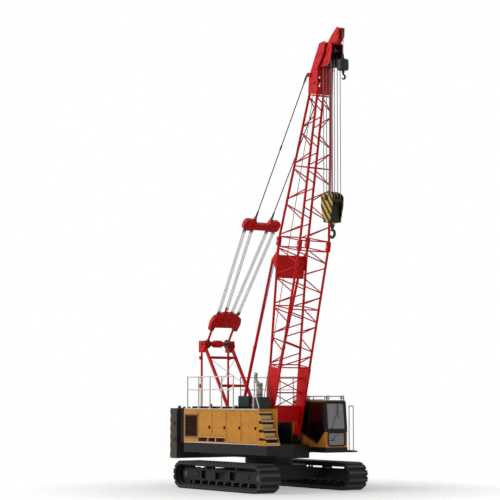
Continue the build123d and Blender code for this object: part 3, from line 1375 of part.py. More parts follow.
NOSE_HALF_WIDTH = 120.0
NOSE_WALL = 22.0
NOSE_ALONG = 13540.0
NOSE_BACK = -690.0
NOSE_SHEAVE_RADIUS = 150.0
NOSE_OUTLINE = (
    (13150.0, -220.0),
    (13420.0, -380.0),
    (13720.0, -640.0),
    (13700.0, -760.0),
    (13420.0, -800.0),
    (13180.0, -640.0),
)
with BuildPart() as nose:
    for side, sign in SIDES:
        with BuildSketch(boom_plane(sign * (NOSE_HALF_WIDTH - NOSE_WALL / 2) + NOSE_WALL / 2)):
            with BuildLine():
                Polyline(*NOSE_OUTLINE, close=True)
            make_face()
        extrude(amount=NOSE_WALL)
    with BuildSketch(boom_plane(NEST_HALF_WIDTH)):
        with Locations(NOSE_BEAM[:2]):
            Rectangle(*NOSE_BEAM[2:])
    extrude(amount=2 * NEST_HALF_WIDTH)
    with BuildSketch(boom_plane(NOSE_HALF_WIDTH - NOSE_WALL)):
        with Locations((NOSE_ALONG, NOSE_BACK)):
            Circle(NOSE_SHEAVE_RADIUS / 4)
    extrude(amount=2 * (NOSE_HALF_WIDTH - NOSE_WALL))
    with BuildSketch(boom_plane(SHEAVE_THICKNESS / 2)):
        with Locations((NOSE_ALONG, NOSE_BACK)):
            Circle(NOSE_SHEAVE_RADIUS)
    extrude(amount=SHEAVE_THICKNESS)
nose.part.label = "boom_nose"
export_step(nose.part, "parts/boom_nose.step")

# ---------------------------------------------------------------- luffing gear
GANTRY_HEAD = Vector(GANTRY_HEAD_X, 0, GANTRY_HEAD_Z)
ANCHOR = boom_point(ANCHOR_ALONG, ANCHOR_BACK)
LINE_ALONG = (ANCHOR - GANTRY_HEAD).normalized()
LINE_LENGTH = (ANCHOR - GANTRY_HEAD).length
BAIL_DISTANCE = 1000.0
BAIL_THICKNESS = 150.0
BAIL_LINK = 40.0
BAIL_LINK_Y = 440.0
# half outline of the bail: side, along the line
BAIL_OUTLINE = (
    (400.0, -280.0),
    (420.0, -410.0),
    (580.0, -410.0),
    (620.0, -80.0),
    (560.0, 110.0),
    (400.0, 230.0),
    (160.0, 300.0),
)
SPREADER_DISTANCE = 4850.0
# half outline of the spreader: side, along the line
SPREADER_OUTLINE = (
    (290.0, -170.0),
    (360.0, -205.0),
    (620.0, -205.0),
    (715.0, -150.0),
    (740.0, -60.0),
    (740.0, 90.0),
    (690.0, 180.0),
    (620.0, 205.0),
    (300.0, 205.0),
    (250.0, 70.0),
)
SPREADER_TOP = 205.0
SPREADER_LUG = 45.0
PENDANT_RADIUS = 18.0
PENDANT_LOW_Y = 330.0
PENDANT_HIGH_Y = HEAD_HALF_WIDTH + ANCHOR_PLATE + 25.0


def line_plane(distance):
    """Plane across the luffing gear at a distance from the gantry head, y along the line."""
    forward = LINE_ALONG.cross(Vector(0, 1, 0))
    return Plane(
        origin=GANTRY_HEAD + LINE_ALONG * distance + forward * (-BAIL_THICKNESS / 2),
        x_dir=(0, -1, 0),
        z_dir=forward,
    )


def line_point(distance, side):
    return GANTRY_HEAD + LINE_ALONG * distance + Vector(0, side, 0)


def both_halves(outline):
    """A half outline and its mirror image, as one closed outline."""
    return [*outline, *[(-side, along) for side, along in reversed(outline)]]


with BuildPart() as bail:
    with BuildSketch(line_plane(BAIL_DISTANCE)):
        with BuildLine():
            Polyline(*both_halves(BAIL_OUTLINE), close=True)
        make_face()
    extrude(amount=BAIL_THICKNESS)
    for side, sign in SIDES:
        y = sign * BAIL_LINK_Y
        low = line_point(HEAD_SHAFT_RADIUS + BAIL_LINK, y)
        add(bar(low, line_point(BAIL_DISTANCE + BAIL_OUTLINE[0][1] - BAIL_LINK, y), BAIL_LINK))
        with BuildSketch(spin_plane(GANTRY_HEAD_X, GANTRY_HEAD_Z, y + BAIL_LINK)):
            Circle(HEAD_SHAFT_RADIUS + 2 * BAIL_LINK)
            Circle(HEAD_SHAFT_RADIUS + RUN_GAP, mode=Mode.SUBTRACT)
        extrude(amount=2 * BAIL_LINK)
bail.part.label = "lower_bail"
export_step(bail.part, "parts/lower_bail.step")

with BuildPart() as spreader:
    with BuildSketch(line_plane(SPREADER_DISTANCE)):
        with BuildLine():
            Polyline(*both_halves(SPREADER_OUTLINE), close=True)
        make_face()
    extrude(amount=BAIL_THICKNESS)
    # lugs that hold the pendants
    for side, sign in SIDES:
        low = line_point(SPREADER_DISTANCE, sign * PENDANT_LOW_Y)
        add(bar(low, low + LINE_ALONG * (SPREADER_TOP + SPREADER_LUG), SPREADER_LUG))
spreader.part.label = "spreader"
export_step(spreader.part, "parts/spreader.step")

with BuildPart() as pendants:
    for side, sign in SIDES:
        add(
            bar(
                line_point(SPREADER_DISTANCE + SPREADER_TOP + SPREADER_LUG + PIN_GAP, sign * PENDANT_LOW_Y),
                line_point(LINE_LENGTH, sign * PENDANT_HIGH_Y),
                PENDANT_RADIUS,
            )
        )
pendants.part.label = "pendants"
export_step(pendants.part, "parts/pendants.step")

# ---------------------------------------------------------------- hooks
ROPE_RADIUS = 13.0
SHEAVE_CENTRE = boom_point(SHEAVE_ALONG, SHEAVE_BACK)
FALL_OFFSET = SHEAVE_RADIUS + ROPE_RADIUS + PIN_GAP
FALL_X = SHEAVE_CENTRE.X
BLOCK_BOTTOM = 8700.0
BLOCK_AXLE = BLOCK_BOTTOM + 800.0
CHEEK_TOP = BLOCK_BOTTOM + 940.0
CHEEK_PLATE = 30.0
CHEEK_GAP = 6.0
CHEEK_INNER = (SHEAVE_COUNT - 1) / 2 * SHEAVE_PITCH + SHEAVE_THICKNESS / 2 + CHEEK_GAP
# half outline of a cheek plate: distance from its middle, height
CHEEK_OUTLINE = (
    (180.0, CHEEK_TOP),
    (300.0, CHEEK_TOP - 100.0),
    (300.0, BLOCK_BOTTOM + 560.0),
    (150.0, BLOCK_BOTTOM),
)
CROSSHEAD_TOP = BLOCK_BOTTOM + 540.0
CROSSHEAD_LENGTH = 220.0
NUT_RADIUS = 90.0
NUT_DEPTH = 80.0
with BuildPart() as falls:
    for sheave in range(SHEAVE_COUNT):
        y = (sheave - (SHEAVE_COUNT - 1) / 2) * SHEAVE_PITCH
        for sign in (-1, 1):
            x = FALL_X + sign * FALL_OFFSET
            add(bar((x, y, BLOCK_AXLE), (x, y, SHEAVE_CENTRE.Z), ROPE_RADIUS))
falls.part.label = "hoist_falls"
export_step(falls.part, "parts/hoist_falls.step")

with BuildPart() as block:
    for face in (CHEEK_INNER + CHEEK_PLATE, -CHEEK_INNER):
        with BuildSketch(side_plane(face)):
            with BuildLine():
                Polyline(
                    *[(FALL_X + reach, z) for reach, z in CHEEK_OUTLINE],
                    *[(FALL_X - reach, z) for reach, z in reversed(CHEEK_OUTLINE)],
                    close=True,
                )
            make_face()
        extrude(amount=CHEEK_PLATE)
    with BuildSketch(spin_plane(FALL_X, BLOCK_AXLE, CHEEK_INNER)):
        Circle(SHEAVE_SHAFT_RADIUS)
    extrude(amount=2 * CHEEK_INNER)
    for sheave in range(SHEAVE_COUNT):
        y = (sheave - (SHEAVE_COUNT - 1) / 2) * SHEAVE_PITCH
        with BuildSketch(spin_plane(FALL_X, BLOCK_AXLE, y + SHEAVE_THICKNESS / 2)):
            Circle(SHEAVE_RADIUS)
        extrude(amount=SHEAVE_THICKNESS)
    with BuildSketch(Plane.XY.offset(BLOCK_BOTTOM)):
        with Locations((FALL_X, 0)):
            Rectangle(CROSSHEAD_LENGTH, 2 * CHEEK_INNER)
    extrude(amount=CROSSHEAD_TOP - BLOCK_BOTTOM)
    with BuildSketch(Plane.XY.offset(BLOCK_BOTTOM)):
        with Locations((FALL_X, 0)):
            Circle(NUT_RADIUS)
    extrude(amount=-NUT_DEPTH)
block.part.label = "hook_block"
export_step(block.part, "parts/hook_block.step")

HOOK_SHANK = 45.0
HOOK_BEND = 120.0
HOOK_ARC = 245.0
HOOK_TOP = BLOCK_BOTTOM - NUT_DEPTH
HOOK_CENTRE = HOOK_TOP - HOOK_SHANK - 2 * HOOK_BEND
with BuildPart() as hook:
    with BuildSketch(Plane.XY.offset(HOOK_TOP)):
        with Locations((FALL_X, 0)):
            Circle(HOOK_SHANK)
    extrude(amount=HOOK_CENTRE + HOOK_BEND - HOOK_TOP)
    with BuildSketch(Plane.YZ.offset(FALL_X)):
        with Locations((0, HOOK_CENTRE + HOOK_BEND)):
            Circle(HOOK_SHANK)
    revolve(axis=Axis((FALL_X, 0, HOOK_CENTRE), (0, 1, 0)), revolution_arc=HOOK_ARC)
hook.part.label = "main_hook"
export_step(hook.part, "parts/main_hook.step")

NOSE_CENTRE = boom_point(NOSE_ALONG, NOSE_BACK)
AUX_X = NOSE_CENTRE.X + NOSE_SHEAVE_RADIUS + ROPE_RADIUS + PIN_GAP
AUX_TOP = 13950.0
AUX_BALL_RADIUS = 180.0
AUX_ROUNDING = 45.0
with BuildPart() as aux_rope:
    add(bar((AUX_X, 0, AUX_TOP), (AUX_X, 0, NOSE_CENTRE.Z), ROPE_RADIUS))
aux_rope.part.label = "aux_rope"
export_step(aux_rope.part, "parts/aux_rope.step")

with BuildPart() as aux_hook:
    with BuildSketch(Plane.XY.offset(AUX_TOP)):
        with Locations((AUX_X, 0)):
            Circle(AUX_BALL_RADIUS)
    extrude(amount=-2 * AUX_BALL_RADIUS)
    fillet(aux_hook.edges().filter_by(GeomType.CIRCLE), AUX_ROUNDING)
    with BuildSketch(Plane.XY.offset(AUX_TOP - 2 * AUX_BALL_RADIUS)):
        with Locations((AUX_X, 0)):
            Circle(HOOK_SHANK)
    extrude(amount=-2 * HOOK_SHANK)
aux_hook.part.label = "aux_hook"
export_step(aux_hook.part, "parts/aux_hook.step")
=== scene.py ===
"""Looks of the crawler crane: finishes, ropes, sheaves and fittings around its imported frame."""

import json
import logging
import math
from dataclasses import dataclass, field
from enum import Enum

import bmesh
import bpy
import numpy as np
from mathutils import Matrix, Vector


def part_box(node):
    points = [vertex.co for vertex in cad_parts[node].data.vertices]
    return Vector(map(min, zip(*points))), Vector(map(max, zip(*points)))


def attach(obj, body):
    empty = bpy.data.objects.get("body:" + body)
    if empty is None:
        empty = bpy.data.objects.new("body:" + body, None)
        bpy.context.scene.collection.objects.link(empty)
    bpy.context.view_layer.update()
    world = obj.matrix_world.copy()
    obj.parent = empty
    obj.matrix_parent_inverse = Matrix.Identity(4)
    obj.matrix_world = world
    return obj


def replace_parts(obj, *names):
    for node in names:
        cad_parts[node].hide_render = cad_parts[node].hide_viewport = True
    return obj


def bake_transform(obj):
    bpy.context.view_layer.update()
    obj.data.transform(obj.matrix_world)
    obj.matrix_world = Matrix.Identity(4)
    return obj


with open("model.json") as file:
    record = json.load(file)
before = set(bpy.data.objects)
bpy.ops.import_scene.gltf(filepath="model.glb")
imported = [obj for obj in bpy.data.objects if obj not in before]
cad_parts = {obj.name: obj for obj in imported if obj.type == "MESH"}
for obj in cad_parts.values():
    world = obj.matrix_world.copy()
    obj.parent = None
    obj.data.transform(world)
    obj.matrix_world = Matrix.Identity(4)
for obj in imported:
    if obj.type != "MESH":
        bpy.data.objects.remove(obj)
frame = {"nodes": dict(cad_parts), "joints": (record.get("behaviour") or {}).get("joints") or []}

log = logging.getLogger("crane")
Array = np.ndarray
Point = tuple[float, float, float]
Pair = tuple[float, float]
X, Y, Z = np.eye(3)
ORIGIN = (0.0, 0.0, 0.0)
SIDES = (-1, 1)


# ------------------------------------------------------------------ surfaces
@dataclass
class Surface:
    """A set of faces: points, the corners of each face in turn, and each face's corner count."""

    points: Array
    corners: Array
    counts: Array

    def __add__(self, other: "Surface") -> "Surface":
        """Both surfaces as one."""
        return Surface(
            np.concatenate([self.points, other.points]),
            np.concatenate([self.corners, other.corners + len(self.points)]),
            np.concatenate([self.counts, other.counts]),
        )

    def copies(self, frames: Array, offsets: Array) -> "Surface":
        """Copies of this surface: p' = R p + t for each rotation R and offset t.

        Args:
            frames: rotation matrices, k x 3 x 3, or one matrix for all.
            offsets: offsets, k x 3.
        Returns:
            All copies as one surface.
        """
        count = len(offsets)
        turned_points = np.einsum("kij,nj->kni", np.broadcast_to(frames, (count, 3, 3)), self.points)
        corners = self.corners + np.arange(count)[:, None] * len(self.points)
        points = (turned_points + offsets[:, None, :]).reshape(-1, 3)
        return Surface(points, corners.ravel(), np.tile(self.counts, count))

    def at(self, *offsets: Point) -> "Surface":
        """Copies moved by the offsets."""
        return self.copies(np.eye(3), np.array(offsets, float))

    def mirrored(self) -> "Surface":
        """Mirror image in the plane y = 0, with y' = -y."""
        return Surface(self.points * (1, -1, 1), self.corners, self.counts)

    def both_sides(self) -> "Surface":
        """This surface and its mirror image."""
        return self + self.mirrored()


def joined(surfaces: list[Surface]) -> Surface:
    """Several surfaces as one."""
    return sum(surfaces[1:], surfaces[0])


def rings(points: Array, closed: bool = False, caps: bool = True) -> Surface:
    """Quads between rings of points, p(i, j) joined to p(i+1, j) and p(i, j+1).

    Args:
        points: n rings of m points, n x m x 3.
        closed: whether the last ring joins the first.
        caps: whether the end rings are filled.
    Returns:
        The skin over the rings.
    """
    n, m = points.shape[:2]
    index = np.arange(n * m).reshape(n, m)
    here, ahead = (index, np.roll(index, -1, 0)) if closed else (index[:-1], index[1:])
    quads = np.stack([here, np.roll(here, -1, 1), np.roll(ahead, -1, 1), ahead], -1).reshape(-1, 4)
    corners, counts = [quads.ravel()], [np.full(len(quads), 4)]
    if caps and not closed:
        corners += [index[0, ::-1], index[-1]]
        counts.append(np.array([m, m]))
    return Surface(points.reshape(-1, 3), np.concatenate(corners), np.concatenate(counts))


def unit(vector: Array) -> Array:
    """The vectors at length 1."""
    vector = np.asarray(vector, float)
    return vector / np.linalg.norm(vector, axis=-1, keepdims=True)


def inset(outline: Array, amount: float) -> Array:
    """An outline moved inwards: each corner p moves by amount (n1 + n2) / (1 + n1.n2).

    Args:
        outline: corners in order, m x 2.
        amount: distance moved inwards.
    Returns:
        The new corners.
    """
    after = np.roll(outline, -1, 0)
    edge = unit(after - outline)
    normal = np.stack([edge[:, 1], -edge[:, 0]], -1)
    area = np.sum(outline[:, 0] * after[:, 1] - after[:, 0] * outline[:, 1])
    before = np.roll(normal, 1, 0)
    share = 1 + np.sum(before * normal, -1, keepdims=True)
    return outline - np.sign(area) * amount * (before + normal) / np.maximum(share, 0.3)


def round_outline(width: float, height: float, radius: float, steps: int = 4) -> Array:
    """A rectangle with round corners: each corner is c + r (cos a, sin a) over a quarter turn.

    Args:
        width: size along the first axis.
        height: size along the second axis.
        radius: corner radius.
        steps: points in a corner's quarter turn.
    Returns:
        Corners in order, m x 2.
    """
    turn = np.linspace(0, math.pi / 2, steps) + np.arange(4)[:, None] * math.pi / 2
    centre = np.array([[1, 1], [-1, 1], [-1, -1], [1, -1]]) * (width / 2 - radius, height / 2 - radius)
    return (centre[:, None, :] + np.stack([np.cos(turn), np.sin(turn)], -1) * radius).reshape(-1, 2)


def opening(across: Pair, up: Pair, margin: Pair, radius: float) -> Array:
    """A rounded outline over two ranges, smaller than them by the margins."""
    size = np.array([across[1] - across[0], up[1] - up[0]]) - margin
    return round_outline(*size, radius) + (sum(across) / 2, sum(up) / 2)


def circle(radius: float, sides: int = 24) -> Array:
    """Points r (cos a, sin a) around a circle."""
    turn = np.arange(sides) * 2 * math.pi / sides
    return radius * np.stack([np.cos(turn), np.sin(turn)], -1)


def on_plane(layers: list[tuple[Array, float]], at: Array, across: Array, up: Array, axis: int) -> Array:
    """Outlines carried into space: p = at + x across + y up + depth normal.

    Args:
        layers: pairs of an outline, m x 2, and its depth.
        at: the plane's origin.
        across: the outlines' first axis.
        up: their second axis.
        axis: the axis of the result that counts the layers.
    Returns:
        The points, layers x m x 3 or m x layers x 3.
    """
    across, up = unit(across), unit(up)
    normal = np.cross(across, up)
    flat = [ring[:, :1] * across + ring[:, 1:] * up + depth * normal for ring, depth in layers]
    return np.stack(flat, axis) + np.asarray(at, float)


def plate(outline: Array, thickness: float, at: Array, across: Array, up: Array,
          bevel: float = 0.004) -> Surface:
    """A plate with bevelled edges, over an outline that is inset by the bevel at both faces.

    Args:
        outline: corners in the plate's plane, m x 2.
        thickness: thickness, half each side of the plane.
        at: the plane's origin.
        across: the outline's first axis.
        up: the outline's second axis.
        bevel: width of the bevel.
    Returns:
        The closed plate.
    """
    outline, half = np.asarray(outline, float), thickness / 2
    bevel = min(bevel, half * 0.9)
    small = inset(outline, bevel)
    layers = [(small, -half), (outline, bevel - half), (outline, half - bevel), (small, half)]
    return rings(on_plane(layers, at, across, up, 0))


def frame_strip(outline: Array, width: float, depth: float, at: Array, across: Array, up: Array) -> Surface:
    """A strip of chamfered section round a closed outline.

    Args:
        outline: corners in the plane, m x 2.
        width: width of the strip in the plane.
        depth: depth of the strip square to the plane.
        at: the plane's origin.
        across: first axis.
        up: second axis.
    Returns:
        The closed loop.
    """
    outline = np.asarray(outline, float)
    section = [(-0.5, -0.5), (-0.5, 0.3), (-0.3, 0.5), (0.3, 0.5), (0.5, 0.3), (0.5, -0.5)]
    layers = [(inset(outline, share * width), depth * lift) for share, lift in section]
    return rings(on_plane(layers, at, across, up, 1), closed=True)


def block(size: Point, at: Array, radius: float = 0.01, bevel: float = 0.006,
          across: Array = X, up: Array = Z) -> Surface:
    """A block with round edges along its depth: a plate over a rounded rectangle.

    Args:
        size: size along across, along the depth, and along up.
        at: its centre.
        radius: radius of the edges along the depth.
        bevel: bevel of the other edges.
        across: first axis.
        up: second axis.
    Returns:
        The closed block.
    """
    width, depth, height = size
    radius = min(radius, width * 0.49, height * 0.49)
    return plate(round_outline(width, height, radius), depth, at, across, up, bevel)


def box(low_corner: Point, high_corner: Point, bevel: float = 0.006, radius: float = 0.01) -> Surface:
    """A block between two opposite corners.

    Args:
        low_corner: the lowest corner.
        high_corner: the highest corner.
        bevel: bevel of the edges square to y.
        radius: radius of the edges along y.
    Returns:
        The closed block.
    """
    start, end = np.array(low_corner, float), np.array(high_corner, float)
    size = end - start
    bevel = min(bevel, *(size / 3))
    return block(tuple(size), (start + end) / 2, min(radius, size[0] / 3, size[2] / 3), bevel)


def box_at(centre: Point, size: Point, bevel: float = 0.004, radius: float = 0.006) -> Surface:
    """A block of a size about a point."""
    half = np.array(size) / 2
    return box(tuple(centre - half), tuple(centre + half), bevel, radius)


def sweep(profile: Array, path: Array, up: Array) -> Surface:
    """A profile carried along a path: p = path + x side + y top, square to the path's direction.

    Args:
        profile: corners of the profile, m x 2.
        path: points of the path, n x 3.
        up: direction that the profile's second axis leans to.
    Returns:
        The closed skin.
    """
    tangent = unit(np.gradient(path, axis=0))
    side = unit(np.cross(tangent, up))
    top = np.cross(side, tangent)
    flat = profile[None, :, :1] * side[:, None, :] + profile[None, :, 1:] * top[:, None, :]
    return rings(path[:, None, :] + flat)


def tube(path: Array, radius: float, sides: int = 10) -> Surface:
    """A round tube along a path, as a circle carried along it."""
    path = np.asarray(path, float)
    return sweep(circle(radius, sides), path, np.eye(3)[int(np.argmin(np.ptp(path, axis=0)))])


def bend(corners: Array, radius: float, steps: int = 6) -> Array:
    """A path with round corners: at each corner c the path follows a (1-t)^2 + 2 c t (1-t) + b t^2.

    Args:
        corners: the path's corner points, n x 3.
        radius: distance from a corner at which its curve starts.
        steps: points in each curve.
    Returns:
        Points of the path.
    """
    corners = np.asarray(corners, float)
    t = np.linspace(0, 1, steps)[:, None]
    parts = [corners[:1]]
    for before, corner, after in zip(corners, corners[1:], corners[2:]):
        start, end = (corner + unit(other - corner) * min(radius, np.linalg.norm(other - corner) / 2)
                      for other in (before, after))
        parts.append(start * (1 - t) ** 2 + 2 * corner * t * (1 - t) + end * t ** 2)
    return np.concatenate(parts + [corners[-1:]])


def turned(profile: Array, at: Array, axis: Array, sides: int = 32) -> Surface:
    """A turned shape: p = at + h axis + r (cos a u + sin a v) for each (r, h) of the profile.

    Args:
        profile: radius and height pairs from one end to the other.
        at: origin of the heights.
        axis: the axis of turning.
        sides: points around.
    Returns:
        The closed skin.
    """
    profile = np.maximum(np.asarray(profile, float), (1e-4, -1e9))
    axis = unit(axis)
    first = unit(np.cross(axis, Y if abs(axis[1]) < 0.9 else X))
    around = circle(1, sides)
    spoke = around[:, :1] * first + around[:, 1:] * np.cross(axis, first)
    return rings(profile[:, None, :1] * spoke + profile[:, None, 1:] * axis + np.asarray(at, float))


def disc(radius: float, start: float, end: float, at: Array, axis: Array, sides: int = 24) -> Surface:
    """A solid cylinder between two heights on an axis."""
    return turned([(0, start), (radius, start), (radius, end), (0, end)], at, axis, sides)


def about(axis: Array, angles: Array) -> Array:
    """Rotation matrices about an axis: R = cos a I + sin a K + (1 - cos a) k k^T.

    Args:
        axis: the axis k.
        angles: angles in radians, n.
    Returns:
        The matrices, n x 3 x 3.
    """
    k = unit(axis)
    cross = np.array([[0, -k[2], k[1]], [k[2], 0, -k[0]], [-k[1], k[0], 0]])
    angles = np.asarray(angles, float)[:, None, None]
    return np.cos(angles) * np.eye(3) + np.sin(angles) * cross + (1 - np.cos(angles)) * np.outer(k, k)


def ring_of(item: Surface, centre: Array, axis: Array, reach: Point, count: int) -> Surface:
    """Copies of an item in a circle: p' = R(a) (p + r) + centre for equal angles a.

    Args:
        item: the piece, at the origin.
        centre: centre of the circle.
        axis: axis of the circle.
        reach: from the centre to the first copy.
        count: number of copies.
    Returns:
        All copies as one surface.
    """
    turns = about(axis, np.arange(count) * 2 * math.pi / count)
    return item.copies(turns, turns @ np.asarray(reach, float) + np.asarray(centre, float))


# ------------------------------------------------------------------ small fittings
def bolt(radius: float, height: float, axis: Array = Z) -> Surface:
    """A six-sided bolt head on a washer, at the origin, standing along the axis."""
    head = [(0, 0), (radius, 0), (radius, height * 0.9), (radius * 0.85, height), (0, height)]
    return turned(head, ORIGIN, axis, 6) + disc(radius * 1.35, 0, height * 0.2, ORIGIN, axis, 12)


def bolt_rows(places: Array, radius: float, height: float, axis: Array = Z) -> Surface:
    """One bolt head at each place, standing along an axis."""
    return bolt(radius, height, axis).at(*places)


def grid_of(*axes: Array) -> Array:
    """Every combination of the given coordinates, n x 3."""
    return np.stack(np.meshgrid(*[np.atleast_1d(a) for a in axes], indexing="ij"), -1).reshape(-1, 3)


def along_line(start: Array, end: Array, spots: tuple[float, ...]) -> Array:
    """Points start + s (end - start) for each share s."""
    return start + np.array(spots)[:, None] * (end - start)


def sheave(at: Array, radius: float, thickness: float) -> Surface:
    """A grooved sheave about y: rim flanges, a rope groove, a thin web and a thick hub.

    Args:
        at: its centre.
        radius: radius over the flanges.
        thickness: thickness of the rim and the hub.
    Returns:
        The closed wheel.
    """
    half, web = thickness / 2, thickness * 0.22
    side = [
        (0.0, half), (radius * 0.28, half), (radius * 0.30, web), (radius * 0.74, web),
        (radius * 0.78, half * 0.9), (radius * 0.97, half), (radius, half * 0.85), (radius * 0.88, half * 0.25),
    ]
    return turned(side + [(r, -h) for r, h in reversed(side)], at, Y, 40)


def socket(start: Array, way: Array, radius: float, length: float) -> Surface:
    """A swaged rope socket: a barrel that tapers towards the rope."""
    profile = [(0, 0), (radius, 0), (radius, length * 0.45), (radius * 0.6, length), (0, length)]
    return turned(profile, start, way, 14)


def boss(at: Array, axis: Array, radius: float, depth: float) -> Surface:
    """A raised round boss with a stepped face, standing on its plate's face."""
    step = [(0, 0), (radius, 0), (radius, depth * 0.6), (radius * 0.8, depth * 0.7),
            (radius * 0.55, depth * 0.7), (radius * 0.5, depth), (0, depth)]
    return turned(step, at, axis, 28)


def tread(along: Pair, across: Pair, z: float) -> Surface:
    """Grip strips on a walking surface: bars along x, about 50 mm apart, on two cross strips.

    Args:
        along: first and last x.
        across: first and last y.
        z: top of the surface they stand on.
    Returns:
        All bars and strips.
    """
    (start, end), (near, far) = along, across
    count = max(2, int((far - near) / 0.05))
    bar = box((start, -0.005, z), (end, 0.005, z + 0.012), 0.002, 0.002)
    rows = bar.at(*[(0, y, 0) for y in np.linspace(near + 0.01, far - 0.01, count)])
    ends = [box((x - 0.012, near, z), (x + 0.012, far, z + 0.009), 0.002, 0.002)
            for x in (start + 0.014, end - 0.014)]
    return joined([rows, *ends])


@dataclass(frozen=True)
class Lean:
    """Axes of a leaning member: its start, its slope from level in degrees, and what follows from them."""

    start: Point
    slope: float

    @property
    def along(self) -> Array:
        """Direction (cos slope, 0, sin slope)."""
        return np.array([math.cos(math.radians(self.slope)), 0, math.sin(math.radians(self.slope))])

    @property
    def back(self) -> Array:
        """Direction (-sin slope, 0, cos slope), square to the member."""
        return np.array([-self.along[2], 0, self.along[0]])

    def at(self, along: float, back: float = 0.0, side: float = 0.0) -> Array:
        """Point start + along a + back b + side Y."""
        return np.array(self.start) + along * self.along + back * self.back + side * Y

    def slab(self, outline: tuple, side: float, thickness: float, bevel: float = 0.004) -> Surface:
        """A plate in the member's side plane over corners (along, back), centred at a side distance."""
        return plate(outline, thickness, self.at(0, 0, side), self.along, self.back, bevel)


GANTRY_HEAD = (-3.2, 0.0, 4.95)
BOOM_AXES = Lean((0.75, 0.0, 1.70), 79.0)
LUFFING_AXES = Lean(GANTRY_HEAD, 55.6708)
PENDANT_PIN = (12.1, 0.33)
FAIRLEAD = (11.95, 0.36)
FAIRLEAD_GROOVE = 0.072


def low(node: str) -> Array:
    """Lowest corner of a CAD node."""
    return np.array(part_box(node)[0])


def high(node: str) -> Array:
    """Highest corner of a CAD node."""
    return np.array(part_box(node)[1])


def middle(node: str) -> Array:
    """Centre of a CAD node's box."""
    return (low(node) + high(node)) / 2


def joint_at(name: str) -> Array:
    """A joint's place."""
    return np.array([j["pos_m"] for j in frame["joints"] if j["name"] == name][0], float)


# ------------------------------------------------------------------ finishes
class Kind(Enum):
    """Ways in which a finish is made."""

    PLAIN = "plain"
    ROPE = "rope"
    FABRIC = "fabric"
    BANDS = "bands"
    GLASS = "glass"
    LAMP = "lamp"


WAVES = {Kind.ROPE: (170.0, 3.0), Kind.FABRIC: (900.0, 1.0), Kind.BANDS: (21.0, 1.3)}  # scale and slant


@dataclass(frozen=True)
class Finish:
    """A finish and its numbers: colours are linear, lengths are in metres."""

    name: str
    slot: str
    colour: Point
    roughness: float = 0.4
    metallic: float = 0.0
    kind: Kind = Kind.PLAIN
    coat: float = 0.0
    specular: float = 0.5
    grain: float = 60.0
    bump: float = 0.0006
    fade: float = 0.12
    dust: float = 0.0
    dust_top: float = 1.0
    second: Point = (0.0, 0.0, 0.0)

    def shade(self, share: float) -> Point:
        """The colour made lighter or darker by a share."""
        return tuple(min(1.0, c * (1 + share)) for c in self.colour)


RED = Finish("red_gloss_paint", "red_paint", (0.68, 0.007, 0.009), coat=0.02, specular=0.15, grain=9, fade=0.16)
OCHRE = Finish("ochre_paint", "yellow_paint", (0.64, 0.268, 0.030), 0.44, coat=0.03, specular=0.2, grain=5, fade=0.10)
# Ochre darkened as painted shade, for frames, posts, back plates and vents in recesses.
OCHRE_PAINTED_SHADE = Finish("shaded_ochre_paint", "yellow_paint", (0.30, 0.125, 0.018), 0.5, specular=0.3, grain=8, fade=0.15)
# Paler ochre as a painted highlight on edges that catch the light: stair lips, nosings and foothold frames.
OCHRE_PAINTED_HIGHLIGHT = Finish("pale_ochre_painted_highlight", "yellow_paint", (0.74, 0.50, 0.24), 0.5, specular=0.3, grain=8)
TAN = Finish("tan_roof_paint", "yellow_paint", (0.42, 0.275, 0.155), 0.5, specular=0.4, grain=8, fade=0.15)
GREY = Finish("dark_grey_paint", "grey_paint", (0.046, 0.040, 0.036), 0.5, specular=0.2, grain=7, fade=0.2,
              dust=0.2, dust_top=1.6)
CHASSIS = Finish("chassis_black_paint", "black_paint", (0.014, 0.013, 0.012), 0.5, specular=0.15, grain=9,
                 fade=0.25, dust=0.15, dust_top=1.4)
BLACK = Finish("black_paint", "black_paint", (0.012, 0.011, 0.011), 0.5, specular=0.15, grain=12, fade=0.3,
               dust=0.12, dust_top=1.2)
GREEN = Finish("dark_green_paint", "black_paint", (0.006, 0.020, 0.015), specular=0.2, grain=15)
RUBBER = Finish("black_rubber", "black_paint", (0.010, 0.010, 0.010), 0.75, specular=0.2, grain=80)
PALE = Finish("pale_rail_paint", "rail_paint", (0.74, 0.76, 0.74), coat=0.1, grain=20, fade=0.08)
CAST = Finish("black_cast_steel", "track_steel", (0.014, 0.014, 0.014), 0.6, grain=35, bump=0.002, fade=0.5,
              specular=0.25, dust=0.15, dust_top=0.5)
WORN = Finish("rubbed_track_steel", "track_steel", (0.075, 0.073, 0.07), 0.5, 0.5, grain=30, bump=0.001, fade=0.5)
STEEL = Finish("dark_machined_steel", "dark_steel", (0.055, 0.052, 0.05), 0.42, 0.6, grain=40, bump=0.0008, fade=0.3)
BRIGHT = Finish("bright_steel", "dark_steel", (0.45, 0.44, 0.42), 0.3, 0.9, grain=50, bump=0.0005, fade=0.15)
HOOK = Finish("dark_forged_steel", "dark_steel", (0.018, 0.014, 0.010), 0.5, 0.1, specular=0.25, grain=22,
              bump=0.0015, fade=0.4)
MUFFLER = Finish("heat_marked_steel", "dark_steel", (0.30, 0.29, 0.24), 0.6, 0.3, grain=14, bump=0.001, fade=0.5)
ROPE = Finish("greased_wire_rope", "rope_steel", (0.20, 0.195, 0.19), 0.42, 0.6, Kind.ROPE, grain=1,
              second=(0.05, 0.048, 0.045))
ROPE_PALE = Finish("new_wire_rope", "rope_steel", (0.62, 0.60, 0.58), 0.5, 0.3, Kind.ROPE, grain=1,
                   second=(0.30, 0.29, 0.28))
PENDANT = Finish("dark_pendant_rope", "rope_steel", (0.055, 0.05, 0.046), 0.5, 0.3, Kind.ROPE, grain=1,
                 second=(0.015, 0.014, 0.013))
# Cab glass: its grey is painted light for the bright backdrop seen through the front panes; its second colour is
# painted shade for the other panes.
GLASS = Finish("cab_glass_painted_light", "cab_glass", (0.46, 0.46, 0.46), 0.05, kind=Kind.GLASS, second=(0.020, 0.008, 0.005))
